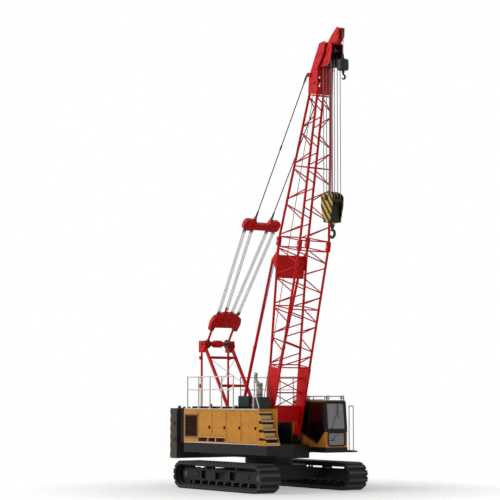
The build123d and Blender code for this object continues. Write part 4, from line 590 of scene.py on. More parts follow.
SEAT = Finish("woven_seat_cloth", "seat_trim", (0.03, 0.03, 0.034), 0.9, kind=Kind.FABRIC, grain=260, bump=0.003)
BANDS = Finish("yellow_black_bands", "block_yellow", (0.66, 0.44, 0.05), 0.42, kind=Kind.BANDS, specular=0.2,
               second=(0.018, 0.014, 0.010))
BLOCK_BLACK = Finish("block_black_paint", "block_black", (0.014, 0.010, 0.008), 0.45, specular=0.2, grain=16, fade=0.3)
LAMP = Finish("clear_lamp_lens", "rail_paint", (0.75, 0.75, 0.72), 0.1, kind=Kind.LAMP)
AMBER = Finish("amber_lamp_lens", "yellow_paint", (0.75, 0.24, 0.02), 0.15, kind=Kind.LAMP)
DUST = (0.16, 0.145, 0.125)
COAT_ROUGHNESS = 0.08
RELIEF = 0.35
MIDDLE_TONES = (0.3, 0.7)
# x range over which the cab glass goes from painted shade to painted light.
GLASS_PAINTED_LIGHT_X = (2.09, 2.14)

Socket = bpy.types.NodeSocket
Value = float | tuple | Socket


class Nodes:
    """Short ways of adding linked nodes to a tree."""

    def __init__(self, tree: bpy.types.NodeTree) -> None:
        """Takes the tree to build in."""
        self.tree = tree

    def put(self, value: Value, target: Socket) -> None:
        """Links a socket to an input, or sets the input to a plain value.

        Args:
            value: the socket or the value.
            target: the input.
        """
        if isinstance(value, Socket):
            self.tree.links.new(value, target)
        else:
            target.default_value = value

    def add(self, kind: str, **values: Value) -> bpy.types.Node:
        """Adds a shader node.

        Args:
            kind: its type, without the leading ShaderNode.
            values: its inputs, with underscores for the spaces in their names.
        Returns:
            The node.
        """
        node = self.tree.nodes.new("ShaderNode" + kind)
        for label, value in values.items():
            self.put(value, node.inputs[label.replace("_", " ")])
        return node

    def math(self, operation: str, *values: Value) -> Socket:
        """Adds a math node.

        Args:
            operation: what it does.
            values: its inputs in order.
        Returns:
            Its result.
        """
        node = self.add("Math")
        node.operation = operation
        for value, target in zip(values, node.inputs):
            self.put(value, target)
        return node.outputs[0]

    def place(self) -> Socket:
        """The object's own coordinates."""
        return self.add("TexCoord").outputs["Object"]

    def split(self) -> bpy.types.NodeOutputs:
        """The object's own coordinates as X, Y and Z."""
        return self.add("SeparateXYZ", Vector=self.place()).outputs

    def carried(self, value: Value, start: Value, end: Value, low_end: float, high_end: float) -> Socket:
        """A value carried from start..end to low_end..high_end."""
        return self.add("MapRange", Value=value, From_Min=start, From_Max=end, To_Min=low_end,
                        To_Max=high_end).outputs[0]

    def mix(self, mask: Socket, first: Value, second: Value) -> Socket:
        """A colour between two, each a colour or a socket, by a mask.

        Args:
            mask: 0 for the first colour, 1 for the second.
            first: the first colour.
            second: the second colour.
        Returns:
            The mixed colour.
        """
        node = self.add("Mix")
        node.data_type = "RGBA"
        self.put(mask, node.inputs["Factor"])
        ends = [s for s in node.inputs if s.type == "RGBA"]
        for value, target in zip((first, second), ends):
            self.put((*value, 1) if isinstance(value, tuple) else value, target)
        return [s for s in node.outputs if s.type == "RGBA"][0]

    def group(self, tree: bpy.types.NodeTree, **values: float) -> bpy.types.NodeOutputs:
        """Places a node group.

        Args:
            tree: the group.
            values: its inputs.
        Returns:
            Its outputs.
        """
        node = self.add("Group")
        node.node_tree = tree
        for label, value in values.items():
            node.inputs[label].default_value = value
        return node.outputs


class Effects:
    """Shader node groups that more than one finish uses."""

    def __init__(self) -> None:
        """Makes the groups once."""
        self.mottle, self.dust, self.lay = self._mottle(), self._dust(), self._lay()

    @staticmethod
    def _group(name: str, inputs: dict[str, float], outputs: tuple[str, ...]) -> tuple:
        """An empty node group with float sockets.

        Args:
            name: its name.
            inputs: its inputs and their first values.
            outputs: its outputs.
        Returns:
            Its nodes, what comes in, and what goes out.
        """
        tree = bpy.data.node_groups.new(name, "ShaderNodeTree")
        for label, value in inputs.items():
            entry = tree.interface.new_socket(label, in_out="INPUT", socket_type="NodeSocketFloat")
            entry.default_value = value
        for label in outputs:
            tree.interface.new_socket(label, in_out="OUTPUT", socket_type="NodeSocketFloat")
        start, end = tree.nodes.new("NodeGroupInput"), tree.nodes.new("NodeGroupOutput")
        return Nodes(tree), start.outputs, end.inputs

    def _mottle(self) -> bpy.types.NodeTree:
        """Uneven paint or skin: broad noise for the tone, fine noise for the height."""
        nodes, given, result = self._group("mottle", {"Scale": 10.0, "Fine": 6.0}, ("Tone", "Height"))
        fine = nodes.math("MULTIPLY", given["Scale"], given["Fine"])
        for label, scale in (("Tone", given["Scale"]), ("Height", fine)):
            noise = nodes.add("TexNoise", Vector=nodes.place(), Scale=scale, Detail=5.0)
            nodes.put(noise.outputs["Fac"], result[label])
        return nodes.tree

    def _dust(self) -> bpy.types.NodeTree:
        """Dust mask: 1 at the ground, 0 at the top height, broken up by noise."""
        nodes, given, result = self._group("dust", {"Top": 1.0, "Amount": 0.5}, ("Mask",))
        fall = nodes.carried(nodes.split()["Z"], 0.0, given["Top"], 1.0, 0.0)
        noise = nodes.add("TexNoise", Vector=nodes.place(), Scale=6.0, Detail=8.0)
        product = nodes.math("MULTIPLY", fall, noise.outputs["Fac"])
        nodes.put(nodes.math("MULTIPLY", product, given["Amount"]), result["Mask"])
        return nodes.tree

    def _lay(self) -> bpy.types.NodeTree:
        """Strands of a rope or bands of paint: 0.5 + 0.5 sin(scale (slant (x + y) + z))."""
        nodes, given, result = self._group("lay", {"Scale": 10.0, "Slant": 1.0}, ("Wave",))
        place = nodes.split()
        slant = nodes.math("MULTIPLY", nodes.math("ADD", place["X"], place["Y"]), given["Slant"])
        phase = nodes.math("MULTIPLY", nodes.math("ADD", slant, place["Z"]), given["Scale"])
        nodes.put(nodes.math("MULTIPLY_ADD", nodes.math("SINE", phase), 0.5, 0.5), result["Wave"])
        return nodes.tree


class Finisher:
    """Makes each finish's material once and hands it out."""

    def __init__(self) -> None:
        """Starts with the shared effects and no material."""
        self.effects = Effects()
        self.made: dict[str, bpy.types.Material] = {}

    def __call__(self, finish: Finish) -> bpy.types.Material:
        """The material of a finish."""
        if finish.name not in self.made:
            self.made[finish.name] = self._make(finish)
        return self.made[finish.name]

    def _make(self, finish: Finish) -> bpy.types.Material:
        """Builds a finish's nodes.

        Args:
            finish: the finish.
        Returns:
            Its material.
        """
        material = bpy.data.materials.new(finish.name)
        material.use_nodes = True
        material.diffuse_color = (*finish.colour, 1)
        nodes = Nodes(material.node_tree)
        inputs = nodes.tree.nodes["Principled BSDF"].inputs
        inputs["Metallic"].default_value = finish.metallic
        inputs["Coat Weight"].default_value = finish.coat
        inputs["Coat Roughness"].default_value = COAT_ROUGHNESS
        inputs["Specular IOR Level"].default_value = finish.specular
        if finish.kind is Kind.GLASS:
            self._glass(nodes, inputs, finish)
            return material
        mottle = nodes.group(self.effects.mottle, Scale=finish.grain)
        tone = nodes.carried(mottle["Tone"], *MIDDLE_TONES, 0, 1)
        dark = finish.shade(-finish.fade)
        colour, height = nodes.mix(tone, dark, finish.shade(finish.fade)), mottle["Height"]
        if finish.kind in WAVES:
            scale, slant = WAVES[finish.kind]
            lay = nodes.group(self.effects.lay, Scale=scale, Slant=slant)["Wave"]
            if finish.kind is Kind.BANDS:
                colour = nodes.mix(nodes.carried(lay, 0.48, 0.52, 0, 1), colour, finish.second)
            else:
                colour = nodes.mix(lay, finish.second if finish.kind is Kind.ROPE else dark, colour)
                height = lay
        if finish.dust:
            mask = nodes.group(self.effects.dust, Top=finish.dust_top, Amount=finish.dust)["Mask"]
            colour = nodes.mix(mask, colour, DUST)
        smooth, coarse = finish.roughness * 0.85, min(1, finish.roughness * 1.2)
        relief = nodes.add("Bump", Strength=RELIEF, Distance=finish.bump, Height=height)
        nodes.put(colour, inputs["Base Color"])
        nodes.put(nodes.carried(mottle["Height"], *MIDDLE_TONES, smooth, coarse), inputs["Roughness"])
        nodes.put(relief.outputs[0], inputs["Normal"])
        if finish.kind is Kind.LAMP:
            inputs["Emission Color"].default_value = (*finish.colour, 1)
            inputs["Emission Strength"].default_value = 0.15
        if finish.kind is Kind.FABRIC:
            inputs["Sheen Weight"].default_value = 0.3
        return material

    def _glass(self, nodes: Nodes, inputs: bpy.types.NodeInputs, finish: Finish) -> None:
        """Glass with painted light: grey in front as painted light for the bright backdrop seen through the panes, and
        painted shade near black at the sides, with faint smears in its roughness.

        Args:
            nodes: the material's nodes.
            inputs: its shader's inputs.
            finish: the finish.
        """
        tone = nodes.group(self.effects.mottle, Scale=3.0)["Tone"]
        smear = nodes.carried(tone, *MIDDLE_TONES, finish.roughness, finish.roughness + 0.08)
        # Painted light on the glass: grey at the front, and painted shade near black behind it.
        front = nodes.carried(nodes.split()["X"], *GLASS_PAINTED_LIGHT_X, 0, 1)
        nodes.put(smear, inputs["Roughness"])
        nodes.put(nodes.mix(front, finish.second, finish.colour), inputs["Base Color"])
        inputs["Transmission Weight"].default_value = 0.45
        inputs["IOR"].default_value = 1.45
        inputs["Alpha"].default_value = 0.9


@dataclass
class Workshop:
    """Turns surfaces into named pieces with a finish, riding on a body."""

    finisher: Finisher = field(default_factory=Finisher)

    def piece(self, name: str, parts: Surface | list[Surface], finish: Finish, body: str | None,
              slot: str = "", sharp: float = 35.0) -> bpy.types.Object:
        """Makes one piece.

        Args:
            name: its name.
            parts: its faces, or several surfaces.
            finish: its finish.
            body: the body that carries it, or None to leave it without one.
            slot: not used.
            sharp: angle in degrees above which an edge stays sharp.
        Returns:
            The object.
        """
        surface = parts if isinstance(parts, Surface) else joined(parts)
        mesh = bpy.data.meshes.new(name)
        mesh.vertices.add(len(surface.points))
        mesh.vertices.foreach_set("co", surface.points.astype(np.float32).ravel())
        mesh.loops.add(len(surface.corners))
        mesh.loops.foreach_set("vertex_index", surface.corners.astype(np.int32))
        mesh.polygons.add(len(surface.counts))
        starts = np.cumsum(surface.counts) - surface.counts
        mesh.polygons.foreach_set("loop_start", starts.astype(np.int32))
        mesh.update(calc_edges=True)
        mesh.validate()
        work = bmesh.new()
        work.from_mesh(mesh)
        bmesh.ops.remove_doubles(work, verts=work.verts, dist=2e-5)
        bmesh.ops.recalc_face_normals(work, faces=work.faces)
        work.to_mesh(mesh)
        work.free()
        mesh.polygons.foreach_set("use_smooth", np.ones(len(mesh.polygons), bool))
        mesh.set_sharp_from_angle(angle=math.radians(sharp))
        mesh.materials.append(self.finisher(finish))
        obj = bpy.data.objects.new(name, mesh)
        bpy.context.collection.objects.link(obj)
        slot or finish.slot
        if body:
            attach(obj, body)
        log.info("%s: %d faces on %s", name, len(mesh.polygons), body)
        return obj

    def dress(self, finish: Finish, nodes: str) -> None:
        """Gives CAD nodes a finish.

        Args:
            finish: the finish.
            nodes: the nodes' names, with spaces between them.
        """
        for node in nodes.split():
            data = frame["nodes"][node].data
            if not data.materials:
                data.materials.append(None)
            for index in range(len(data.materials)):
                data.materials[index] = self.finisher(finish)


# ------------------------------------------------------------------ sub-assemblies
@dataclass
class Assembly:
    """A sub-assembly whose pieces ride on one body, unless they are given another."""

    shop: Workshop
    body: str = "upper"

    def add(self, name: str, parts: Surface | list[Surface], finish: Finish,
            slot: str = "") -> bpy.types.Object:
        """Makes a piece on the assembly's own body."""
        return self.shop.piece(name, parts, finish, self.body, slot)

    def pair(self, name: str, parts: list[Surface], finish: Finish, slot: str = "") -> None:
        """Makes a piece of the parts and their mirror images."""
        self.add(name, joined(parts).both_sides(), finish, slot)


@dataclass
class Undercarriage(Assembly):
    """Tracks, rollers, drives and the carbody."""

    body: str = "undercarriage"
    gauge: float = 3.54
    shoe_width: float = 0.76
    shoe_count: int = 54
    wheel_spacing: float = 4.37
    chain_radius: float = 0.403
    chain_inner: float = 0.345
    mid_height: float = 0.465
    roller_span: float = 3.3
    roller_count: int = 8
    roller_height: float = 0.204
    frame_face: float = 1.94
    link_rows: Pair = (-0.215, 0.215)
    shoe_bolts: tuple[float, ...] = (-0.13, -0.05, 0.05, 0.13)
    beam_bolts: tuple[float, ...] = (-0.88, -0.74, -0.60, 0.60, 0.74, 0.88)

    def build(self) -> None:
        """Dresses the nodes and adds track links, shoe bolts and edge bars, hub and roller caps, frame fittings, pipes
        and bolts.
        """
        self.shop.dress(CAST, "tracks track_rollers idlers sprockets slewing_ring")
        self.shop.dress(BLACK, "side_frames travel_drives carbody")
        self._bolts_and_hubs()
        self._chain()
        self._rollers()
        self._frame_fittings()
        self._pipes()

    def _bolts_and_hubs(self) -> None:
        """Bolts around the slewing ring, and bolted caps on the idler and drive hubs of both tracks."""
        outer, top = high("slewing_ring")[[0, 2]]
        heads = ring_of(bolt(0.018, 0.02), (0, 0, top - 0.1), Z, (outer, 0, 0), 48)
        self.add("slewing_ring_bolts", heads, STEEL, CAST.slot)
        caps = []
        for node in ("idlers", "sprockets"):
            at = middle(node) * (1, 0, 1) + high(node) * (0, 1, 0)
            cap = turned([(0, 0), (0.13, 0), (0.13, 0.02), (0.09, 0.045), (0.05, 0.05), (0, 0.05)], at, Y)
            bolts = ring_of(bolt(0.012, 0.014, Y), at + 0.02 * Y, Y, (0.11, 0, 0), 10)
            caps.append((cap + bolts).both_sides())
        self.add("hub_caps", caps, STEEL, CAST.slot)

    def _loop(self, item: Surface, radius: float, shift: float = 0.5) -> Surface:
        """An item at every shoe of a track's loop, its z axis pointing outwards.

        Args:
            item: the item, standing on the origin.
            radius: distance from the loop's middle line.
            shift: place within a shoe's pitch.
        Returns:
            All copies at y = 0.
        """
        straight, arc = self.wheel_spacing, math.pi * self.chain_radius
        run = (np.arange(self.shoe_count) + shift) * 2 * (straight + arc) / self.shoe_count
        upper = run >= straight + arc
        left = run - (straight + arc) * upper
        turn = np.maximum(left - straight, 0) / self.chain_radius - math.pi * ~upper
        along = np.where(upper, -1, 1) * (np.minimum(left, straight) - straight / 2)
        out = np.stack([-np.sin(turn), 0 * turn, np.cos(turn)], -1)
        places = np.stack([along, 0 * run, 0 * run + self.mid_height], -1) + radius * out
        return item.copies(about(-Y, turn), places)

    def _chain(self) -> None:
        """Two rows of link plates inside the shoes, and on them bolts and a worn edge bar."""
        tracks = [sign * self.gauge / 2 for sign in SIDES]
        link = box((-0.098, -0.02, -0.045), (0.098, 0.02, 0.02), 0.004, 0.02)
        pin = disc(0.024, -0.03, 0.03, (-0.09, 0, -0.02), Y, 10)
        links = self._loop(link + pin, self.chain_inner)
        rows = links.at(*[(0, y + row, 0) for y in tracks for row in self.link_rows])
        self.add("track_links", rows, CAST)
        heads = bolt(0.014, 0.014).at(*[(0, y, 0) for y in self.shoe_bolts])
        half = self.shoe_width / 2 - 0.02
        bar = box((-0.012, -half, 0), (0.012, half, 0.004), 0.002, 0.003)
        item = self._loop(heads, self.chain_radius, 0.0) + self._loop(bar, self.mid_height - 0.003)
        self.add("shoe_bolts_and_edges", item.at(*[(0, y, 0) for y in tracks]), WORN)

    def _rollers(self) -> None:
        """End caps and brackets on the track rollers, outside and inside."""
        spots = np.linspace(-self.roller_span / 2, self.roller_span / 2, self.roller_count)
        cap = turned([(0, 0), (0.055, 0), (0.055, 0.014), (0.03, 0.026), (0, 0.026)], (0, 0.012, 0), Y, 18)
        lug = box((-0.06, -0.012, -0.01), (0.06, 0.012, 0.13), 0.004, 0.02)
        outer = (cap + lug).at(*grid_of(spots, self.frame_face, self.roller_height))
        self.pair("roller_caps", [outer, outer.mirrored().at((0, self.gauge, 0))], CAST)

    def _frame_fittings(self) -> None:
        """Guard rails, tensioner covers, a step and bolts on the outer faces of the side frames."""
        face = self.frame_face
        parts = [
            box((start, face, base), (end, face + depth, top), bevel, radius)
            for start, end, base, top, depth, bevel, radius in (
                (-1.75, 1.75, 0.315, 0.36, 0.018, 0.004, 0.008), (-1.85, 1.85, 0.63, 0.675, 0.016, 0.004, 0.008),
                (1.28, 1.66, 0.42, 0.58, 0.02, 0.005, 0.03), (-1.72, -1.34, 0.40, 0.60, 0.02, 0.005, 0.03),
                (-0.30, 0.24, 0.60, 0.625, 0.09, 0.004, 0.01))
        ]
        for x, z in (((1.32, 1.47, 1.62), (0.45, 0.55)), ((-1.68, -1.53, -1.38), (0.43, 0.57))):
            parts.append(bolt_rows(grid_of(x, face + 0.02, z), 0.011, 0.012, Y))
        parts.append(bolt_rows(grid_of(np.linspace(-1.7, 1.7, 18), face + 0.018, 0.3375), 0.009, 0.01, Y))
        self.pair("side_frame_fittings", parts, BLACK)

    def _pipes(self) -> None:
        """Steel pipes clipped along the carbody to each travel drive, and bolts on its beams."""
        drive, pipes = middle("travel_drives")[0], []
        for y, shift in ((0.30, 0.0), (0.38, 0.06), (0.46, 0.12)):
            end = drive + 0.2 + shift
            corners = [(-0.45, y, 0.86), (-0.45, 1.35 + y * 0.1, 0.80), (end + 0.15, 1.42 + y * 0.1, 0.70),
                       (end, 1.46 + y * 0.1, 0.52)]
            pipes.append(tube(bend(corners, 0.16), 0.014, 8))
        self.pair("travel_pipes", pipes, BLACK)
        spots = grid_of(self.beam_bolts, (1.46, 1.54), high("carbody")[2] - 0.128)
        self.pair("beam_bolts", [bolt_rows(spots, 0.018, 0.02)], STEEL, CAST.slot)


@dataclass
class Boom(Assembly):
    """The lattice boom, its board, head and nose."""

    body: str = "boom"
    axes: Lean = BOOM_AXES
    sheave_spots: tuple[float, ...] = (-0.18, -0.06, 0.06, 0.18)
    sheave_place: Pair = (12.61, -0.42)
    guide_place: Pair = (12.96, -0.444)
    nose_place: Pair = (13.54, -0.69)
    nest_half: float = 0.24
    head_half: float = 0.325
    joint: float = 6.54
    chord_side: float = 0.593
    chord_back: float = 0.588
    stop_low: Pair = (-0.9, 2.2)
    stop_high: Pair = (5.84, 0.83)
    foot_half: float = 0.60
    foot_levels: tuple[float, ...] = (1.00, 1.55, 2.05)
    board_run: Pair = (5.33, 6.07)
    board_bolts: tuple[float, ...] = (5.36, 5.70, 6.04)
    # Side distance of the black plates that paint the nest's shade.
    nest_shade_side: float = 0.2125

    def build(self) -> None:
        """Dresses the boom and adds its sheaves, pins, bosses and stop fittings."""
        self.shop.dress(RED, "boom_base boom_base_lacing boom_tip boom_tip_lacing boom_panel backstops")
        self.shop.dress(RED, "boom_head boom_nose")
        self._sheaves()
        self._head_plates()
        self._connectors()
        self._foot_braces()
        self._stops()
        self._board()
        self._fairleads()

    def _sheaves(self) -> None:
        """Grooved sheaves in the head and the nose in place of plain discs, on their shafts."""
        load, guide, nose = (self.axes.at(*p) for p in (self.sheave_place, self.guide_place, self.nose_place))
        wheels = [sheave(load + y * Y, 0.2, 0.046) for y in self.sheave_spots] + [sheave(guide, 0.12, 0.05)]
        for centre in (load, guide):
            wheels += [disc(0.045, -0.262, 0.262, centre, Y),
                       disc(0.06, 0, 0.012, centre + self.nest_half * Y, Y, 6).both_sides()]
        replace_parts(self.add("head_sheave_nest", wheels, STEEL), "head_sheaves")
        self.add("nose_sheave", [sheave(nose, 0.166, 0.05), disc(0.03, -0.15, 0.15, nose, Y, 20)], STEEL)

    def _head_plates(self) -> None:
        """Bosses, stiffeners and bolts on the head's plates, and black plates in the sheave nest that paint the shade
        inside it.
        """
        axes, edge = self.axes, self.head_half + 0.008
        out = [boss(axes.at(*place, side), Y, radius, depth) for place, side, radius, depth in (
            (self.sheave_place, self.nest_half, 0.085, 0.03), (self.guide_place, self.nest_half, 0.085, 0.03),
            (PENDANT_PIN, self.head_half + 0.038, 0.055, 0.03), (self.nose_place, 0.12, 0.06, 0.024))]
        out += [axes.slab(outline, edge, 0.018) for outline in (
            ((11.52, 0.20), (11.56, 0.20), (11.56, -0.22), (11.52, -0.22)),
            ((12.26, 0.20), (12.30, 0.18), (12.34, -0.13), (12.30, -0.13)),
            ((12.68, 0.08), (12.72, 0.06), (12.90, -0.34), (12.86, -0.34)))]
        spots = [axes.at(along, 0.13, edge + 0.004) for along in np.linspace(11.66, 12.16, 6)]
        self.pair("head_bosses", [*out, bolt_rows(spots, 0.011, 0.012, Y)], RED)
        # Black plates in the sheave nest: painted shade for its dark interior.
        outline = ((12.42, -0.13), (13.10, -0.13), (13.14, -0.24), (13.14, -0.57), (12.90, -0.63),
                   (12.57, -0.62), (12.47, -0.51))
        self.pair("nest_painted_shade_plates", [axes.slab(outline, self.nest_shade_side, 0.003, 0.001)], BLACK)

    def _connectors(self) -> None:
        """Forked lugs and pins that join the two lattice sections at the four chords."""
        lugs, pins, joint = [], [], self.joint
        for back in (-self.chord_back, self.chord_back):
            outline = [(joint - 0.17, back - 0.055), (joint + 0.17, back - 0.055), (joint + 0.13, back + 0.075),
                       (joint - 0.13, back + 0.075)]
            lugs += [self.axes.slab(outline, self.chord_side + shift, 0.02) for shift in (-0.056, 0.046)]
            profile = [(0, 0), (0.03, 0), (0.03, 0.155), (0.02, 0.165), (0, 0.165)]
            pins.append(turned(profile, self.axes.at(joint, back, self.chord_side - 0.085), Y, 18))
        self.pair("section_lugs", lugs, RED)
        self.pair("section_pins", pins, BRIGHT)

    def _foot_braces(self) -> None:
        """Cross tubes and diagonals between the two foot plates."""
        half, levels = self.foot_half, self.foot_levels
        runs = [(level, level, -half, 0.024, 12) for level in levels]
        runs += [(a, b, -side * half, 0.018, 10) for a, b in zip(levels, levels[1:]) for side in SIDES]
        bars = [tube([self.axes.at(a, 0, y), self.axes.at(b, 0, -y)], radius, sides) for a, b, y, radius, sides in runs]
        self.add("foot_braces", bars, RED)

    def _stops(self) -> None:
        """Sleeves, collars and pinned ends of the two backstop tubes."""
        start = np.array([self.stop_low[0], self.chord_side, self.stop_low[1]])
        end = self.axes.at(*self.stop_high, self.chord_side)
        length, way = float(np.linalg.norm(end - start)), unit(end - start)
        sleeve = [(0, 0.12), (0.056, 0.12), (0.058, 0.15), (0.054, 0.18), (0.054, length * 0.46),
                  (0.062, length * 0.465), (0.062, length * 0.48), (0.046, length * 0.485), (0, length * 0.485)]
        foot = [(0, 0), (0.07, 0), (0.075, 0.03), (0.075, 0.10), (0.05, 0.13), (0, 0.13)]
        self.pair("backstop_sleeves", [turned(profile, start, way, 24) for profile in (sleeve, foot)], RED)
        self.pair("backstop_pins", [disc(0.03, -0.075, 0.06, end, Y, 18)], BRIGHT)

    def _board(self) -> None:
        """Folded edges and bolts of the bare board."""
        lower, upper = low("boom_panel"), high("boom_panel")
        board = float(np.dot((lower + upper) / 2 - np.array(self.axes.start), self.axes.back))
        half = (upper[1] - lower[1]) / 2
        (start, end), edge = self.board_run, half - 0.01
        outline = [(start, -edge), (end, -edge), (end, edge), (start, edge)]
        rim = frame_strip(outline, 0.03, 0.03, self.axes.at(0, board + 0.02), self.axes.along, Y)
        spots = [self.axes.at(a, board + 0.017, y) for a in self.board_bolts for y in (0.06 - half, half - 0.06)]
        self.add("board_rim", [rim, bolt_rows(spots, 0.012, 0.012, self.axes.back)], RED)

    def _fairleads(self) -> None:
        """Small sheaves on brackets at the head's back that lead the hoist ropes in."""
        axes, outline = self.axes, ((11.80, 0.24), (12.06, 0.24), (12.0, 0.42), (11.88, 0.42))
        self.add("fairlead_sheaves", [sheave(axes.at(*FAIRLEAD, y), 0.085, 0.04) for y in (-0.06, 0.06)], STEEL)
        self.add("fairlead_brackets", [axes.slab(outline, y, 0.012) for y in (-0.1, 0.0, 0.1)], RED)


@dataclass
class Rigging(Assembly):
    """Luffing ropes, hoist ropes, pendants, falls and hooks."""

    axes: Lean = LUFFING_AXES
    rope_radius: float = 0.012
    bail_spots: tuple[float, ...] = (-0.42, -0.13, 0.13, 0.42)
    spreader_spots: tuple[float, ...] = (-0.60, -0.31, 0.31, 0.60)
    strand_gaps: tuple[float, ...] = (-0.05, 0.0, 0.05)
    bail: float = 1.0
    spreader: float = 4.85
    half_depth: float = 0.075
    block_axle: float = 9.5
    block_bottom: float = 8.7
    fall_x: float = 3.56838
    cheek_face: float = 0.236
    aux_x: float = 4.17488

    def build(self) -> None:
        """Dresses the rigging's nodes and adds ropes, sockets, bosses and the hooks' fittings."""
        for finish, nodes in ((RED, "lower_bail spreader"), (ROPE, "hoist_falls aux_rope"), (PENDANT, "pendants"),
                              (HOOK, "main_hook"), (BANDS, "hook_block"), (GREEN, "aux_hook")):
            self.shop.dress(finish, nodes)
        self._ropes()
        self._bail()
        self._spreader()
        self._hook_block()
        self._main_hook()
        self._aux_hook()

    def _ropes(self) -> None:
        """Luffing rope parts from the bail to the spreader, and hoist ropes from the winches to the head."""
        start, end = self.bail + 0.36, self.spreader - 0.30
        parts = [
            tube(along_line(self.axes.at(start, 0, near + gap), self.axes.at(end, 0, far + gap), (0, 0.5, 1)),
                 self.rope_radius, 8)
            for near, far in zip(self.bail_spots, self.spreader_spots) for gap in self.strand_gaps
        ]
        obj = self.shop.piece("luffing_rope_parts", parts, ROPE_PALE, None)
        tuple(self.axes.at(start + 0.05))
        tuple(self.axes.at(end - 0.05))
        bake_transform(obj)
        lines = []
        for node, shift in (("main_winch", 0.06), ("aux_winch", -0.06)):
            drum = middle(node) * (1, 0, 1) + (-0.19, shift, 0.20)
            head = BOOM_AXES.at(FAIRLEAD[0], FAIRLEAD[1] + FAIRLEAD_GROOVE, shift)
            path = along_line(drum, head, (0, 0.1, 0.2, 0.3, 0.5, 1))
            lines.append(tube(path, self.rope_radius, 8))
        obj, foot = self.shop.piece("hoist_ropes", lines, ROPE, None), joint_at("boom_luff")
        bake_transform(obj)

    def _bosses(self, along: float, spots: tuple[float, ...], radius: float) -> list[Surface]:
        """Bosses on both faces of a sheave carrier."""
        return [boss(self.axes.at(along, face * self.half_depth, y), face * self.axes.back, radius, 0.02)
                for y in spots for face in SIDES]

    def _sockets(self, along: float, spots: tuple[float, ...], way: int, length: float) -> list[Surface]:
        """Sockets of the luffing rope parts, pointing up or down the line."""
        return [socket(self.axes.at(along, 0, y + gap), way * self.axes.along, 0.02, length)
                for y in spots for gap in self.strand_gaps]

    def _bail(self) -> None:
        """Sheave bosses, rope sockets, the rim, the rear post and the link pins of the bail."""
        axes, out = self.axes, self._bosses(self.bail + 0.02, self.bail_spots, 0.075)
        rim = ((-0.60, -0.10), (-0.55, 0.095), (-0.39, 0.215), (-0.15, 0.285), (0.15, 0.285), (0.39, 0.215),
               (0.55, 0.095), (0.60, -0.10))
        for face in SIDES:
            path = np.array([axes.at(self.bail + along, face * self.half_depth, y) for y, along in rim])
            out.append(sweep(round_outline(0.03, 0.024, 0.006, 2), path, face * axes.back))
        post = [(0, 0), (0.035, 0), (0.035, 0.16), (0.05, 0.17), (0.05, 0.20), (0.02, 0.24), (0, 0.24)]
        out.append(turned(post, axes.at(self.bail + 0.28, 0, -0.16), axes.along, 18))
        self.shop.piece("bail_bosses", out, RED, "bail")
        parts = self._sockets(self.bail + 0.22, self.bail_spots, 1, 0.17)
        parts += [disc(0.032, -0.085, 0.085, axes.at(along, 0, side * 0.44), axes.back, 16)
                  for side in SIDES for along in (0.06, self.bail - 0.28)]
        self.shop.piece("bail_sockets_and_pins", parts, STEEL, "bail")

    def _spreader(self) -> None:
        """Bosses, cover plates, rope sockets, pendant sockets and clamps of the spreader."""
        axes, out = self.axes, self._bosses(self.spreader - 0.02, self.spreader_spots, 0.08)
        outline = ((0.0, -0.24), (-0.15, -0.24), (-0.15, 0.24), (0.0, 0.24))
        out += [plate(outline, 0.014, axes.at(self.spreader, face * self.half_depth), axes.along, Y)
                for face in SIDES]
        self.shop.piece("spreader_bosses", out, RED, "spreader")
        parts = self._sockets(self.spreader - 0.16, self.spreader_spots, -1, 0.18)
        for side in SIDES:
            start, end = axes.at(self.spreader + 0.26, 0, side * 0.33), BOOM_AXES.at(*PENDANT_PIN, side * 0.39)
            way = unit(end - start)
            clamp = [(0, -0.09), (0.03, -0.08), (0.03, 0.08), (0, 0.09)]
            parts += [socket(start, way, 0.036, 0.30), socket(end - 0.05 * way, -way, 0.036, 0.30),
                      disc(0.026, -0.07, 0.07, start, axes.back, 14), turned(clamp, (start + end) / 2, way, 12)]
        self.shop.piece("spreader_sockets", parts, STEEL, "spreader")

    def _hook_block(self) -> None:
        """Grooved sheaves, side guards, axle nuts and the dark crosshead of the main block."""
        x, base, face = self.fall_x, self.block_bottom, self.cheek_face
        axle = np.array([x, 0, self.block_axle])
        groove = [(0.10, 0.022), (0.204, 0.024), (0.208, 0.018), (0.186, 0.004)]
        groove = [(r, -h) for r, h in groove] + groove[::-1]
        wheels = [turned(groove, axle + y * Y, Y, 40) for y in (-0.18, -0.06, 0.06, 0.18)]
        wheels += [disc(0.08, -0.03, 0.03, axle + y * Y, Y, 20) for y in (-0.12, 0.0, 0.12)]
        self.shop.piece("block_sheaves", wheels, STEEL, "main_fall")
        outline = ((-0.17, -0.79), (0.14, -0.79), (0.28, -0.25), (0.28, 0.03), (0.17, 0.125), (-0.17, 0.125),
                   (-0.28, 0.03), (-0.28, -0.25))
        dark = [box((x - 0.128, -0.204, base - 0.004), (x + 0.128, 0.204, base + 0.548), 0.012, 0.02)]
        dark += [box_at((x + s * 0.262, 0, self.block_axle - 0.11), (0.024, 0.412, 0.10), 0.006, 0.01) for s in SIDES]
        dark += [plate(outline, 0.003, axle + s * 0.2035 * Y, X, Z, 0.001) for s in SIDES]
        self.shop.piece("block_crosshead", dark, BLOCK_BLACK, "main_fall")
        bolts = [boss(axle + face * Y, Y, 0.09, 0.035)]
        for reach, heights, radius in ((0.2, (9.2, 9.52), 0.016), (0.09, (8.82, 9.0), 0.014)):
            bolts.append(bolt_rows(grid_of((x - reach, x + reach), face, heights), radius, radius + 0.004, Y))
        self.shop.piece("block_cheek_bolts", joined(bolts).both_sides(), BLOCK_BLACK, "main_fall")

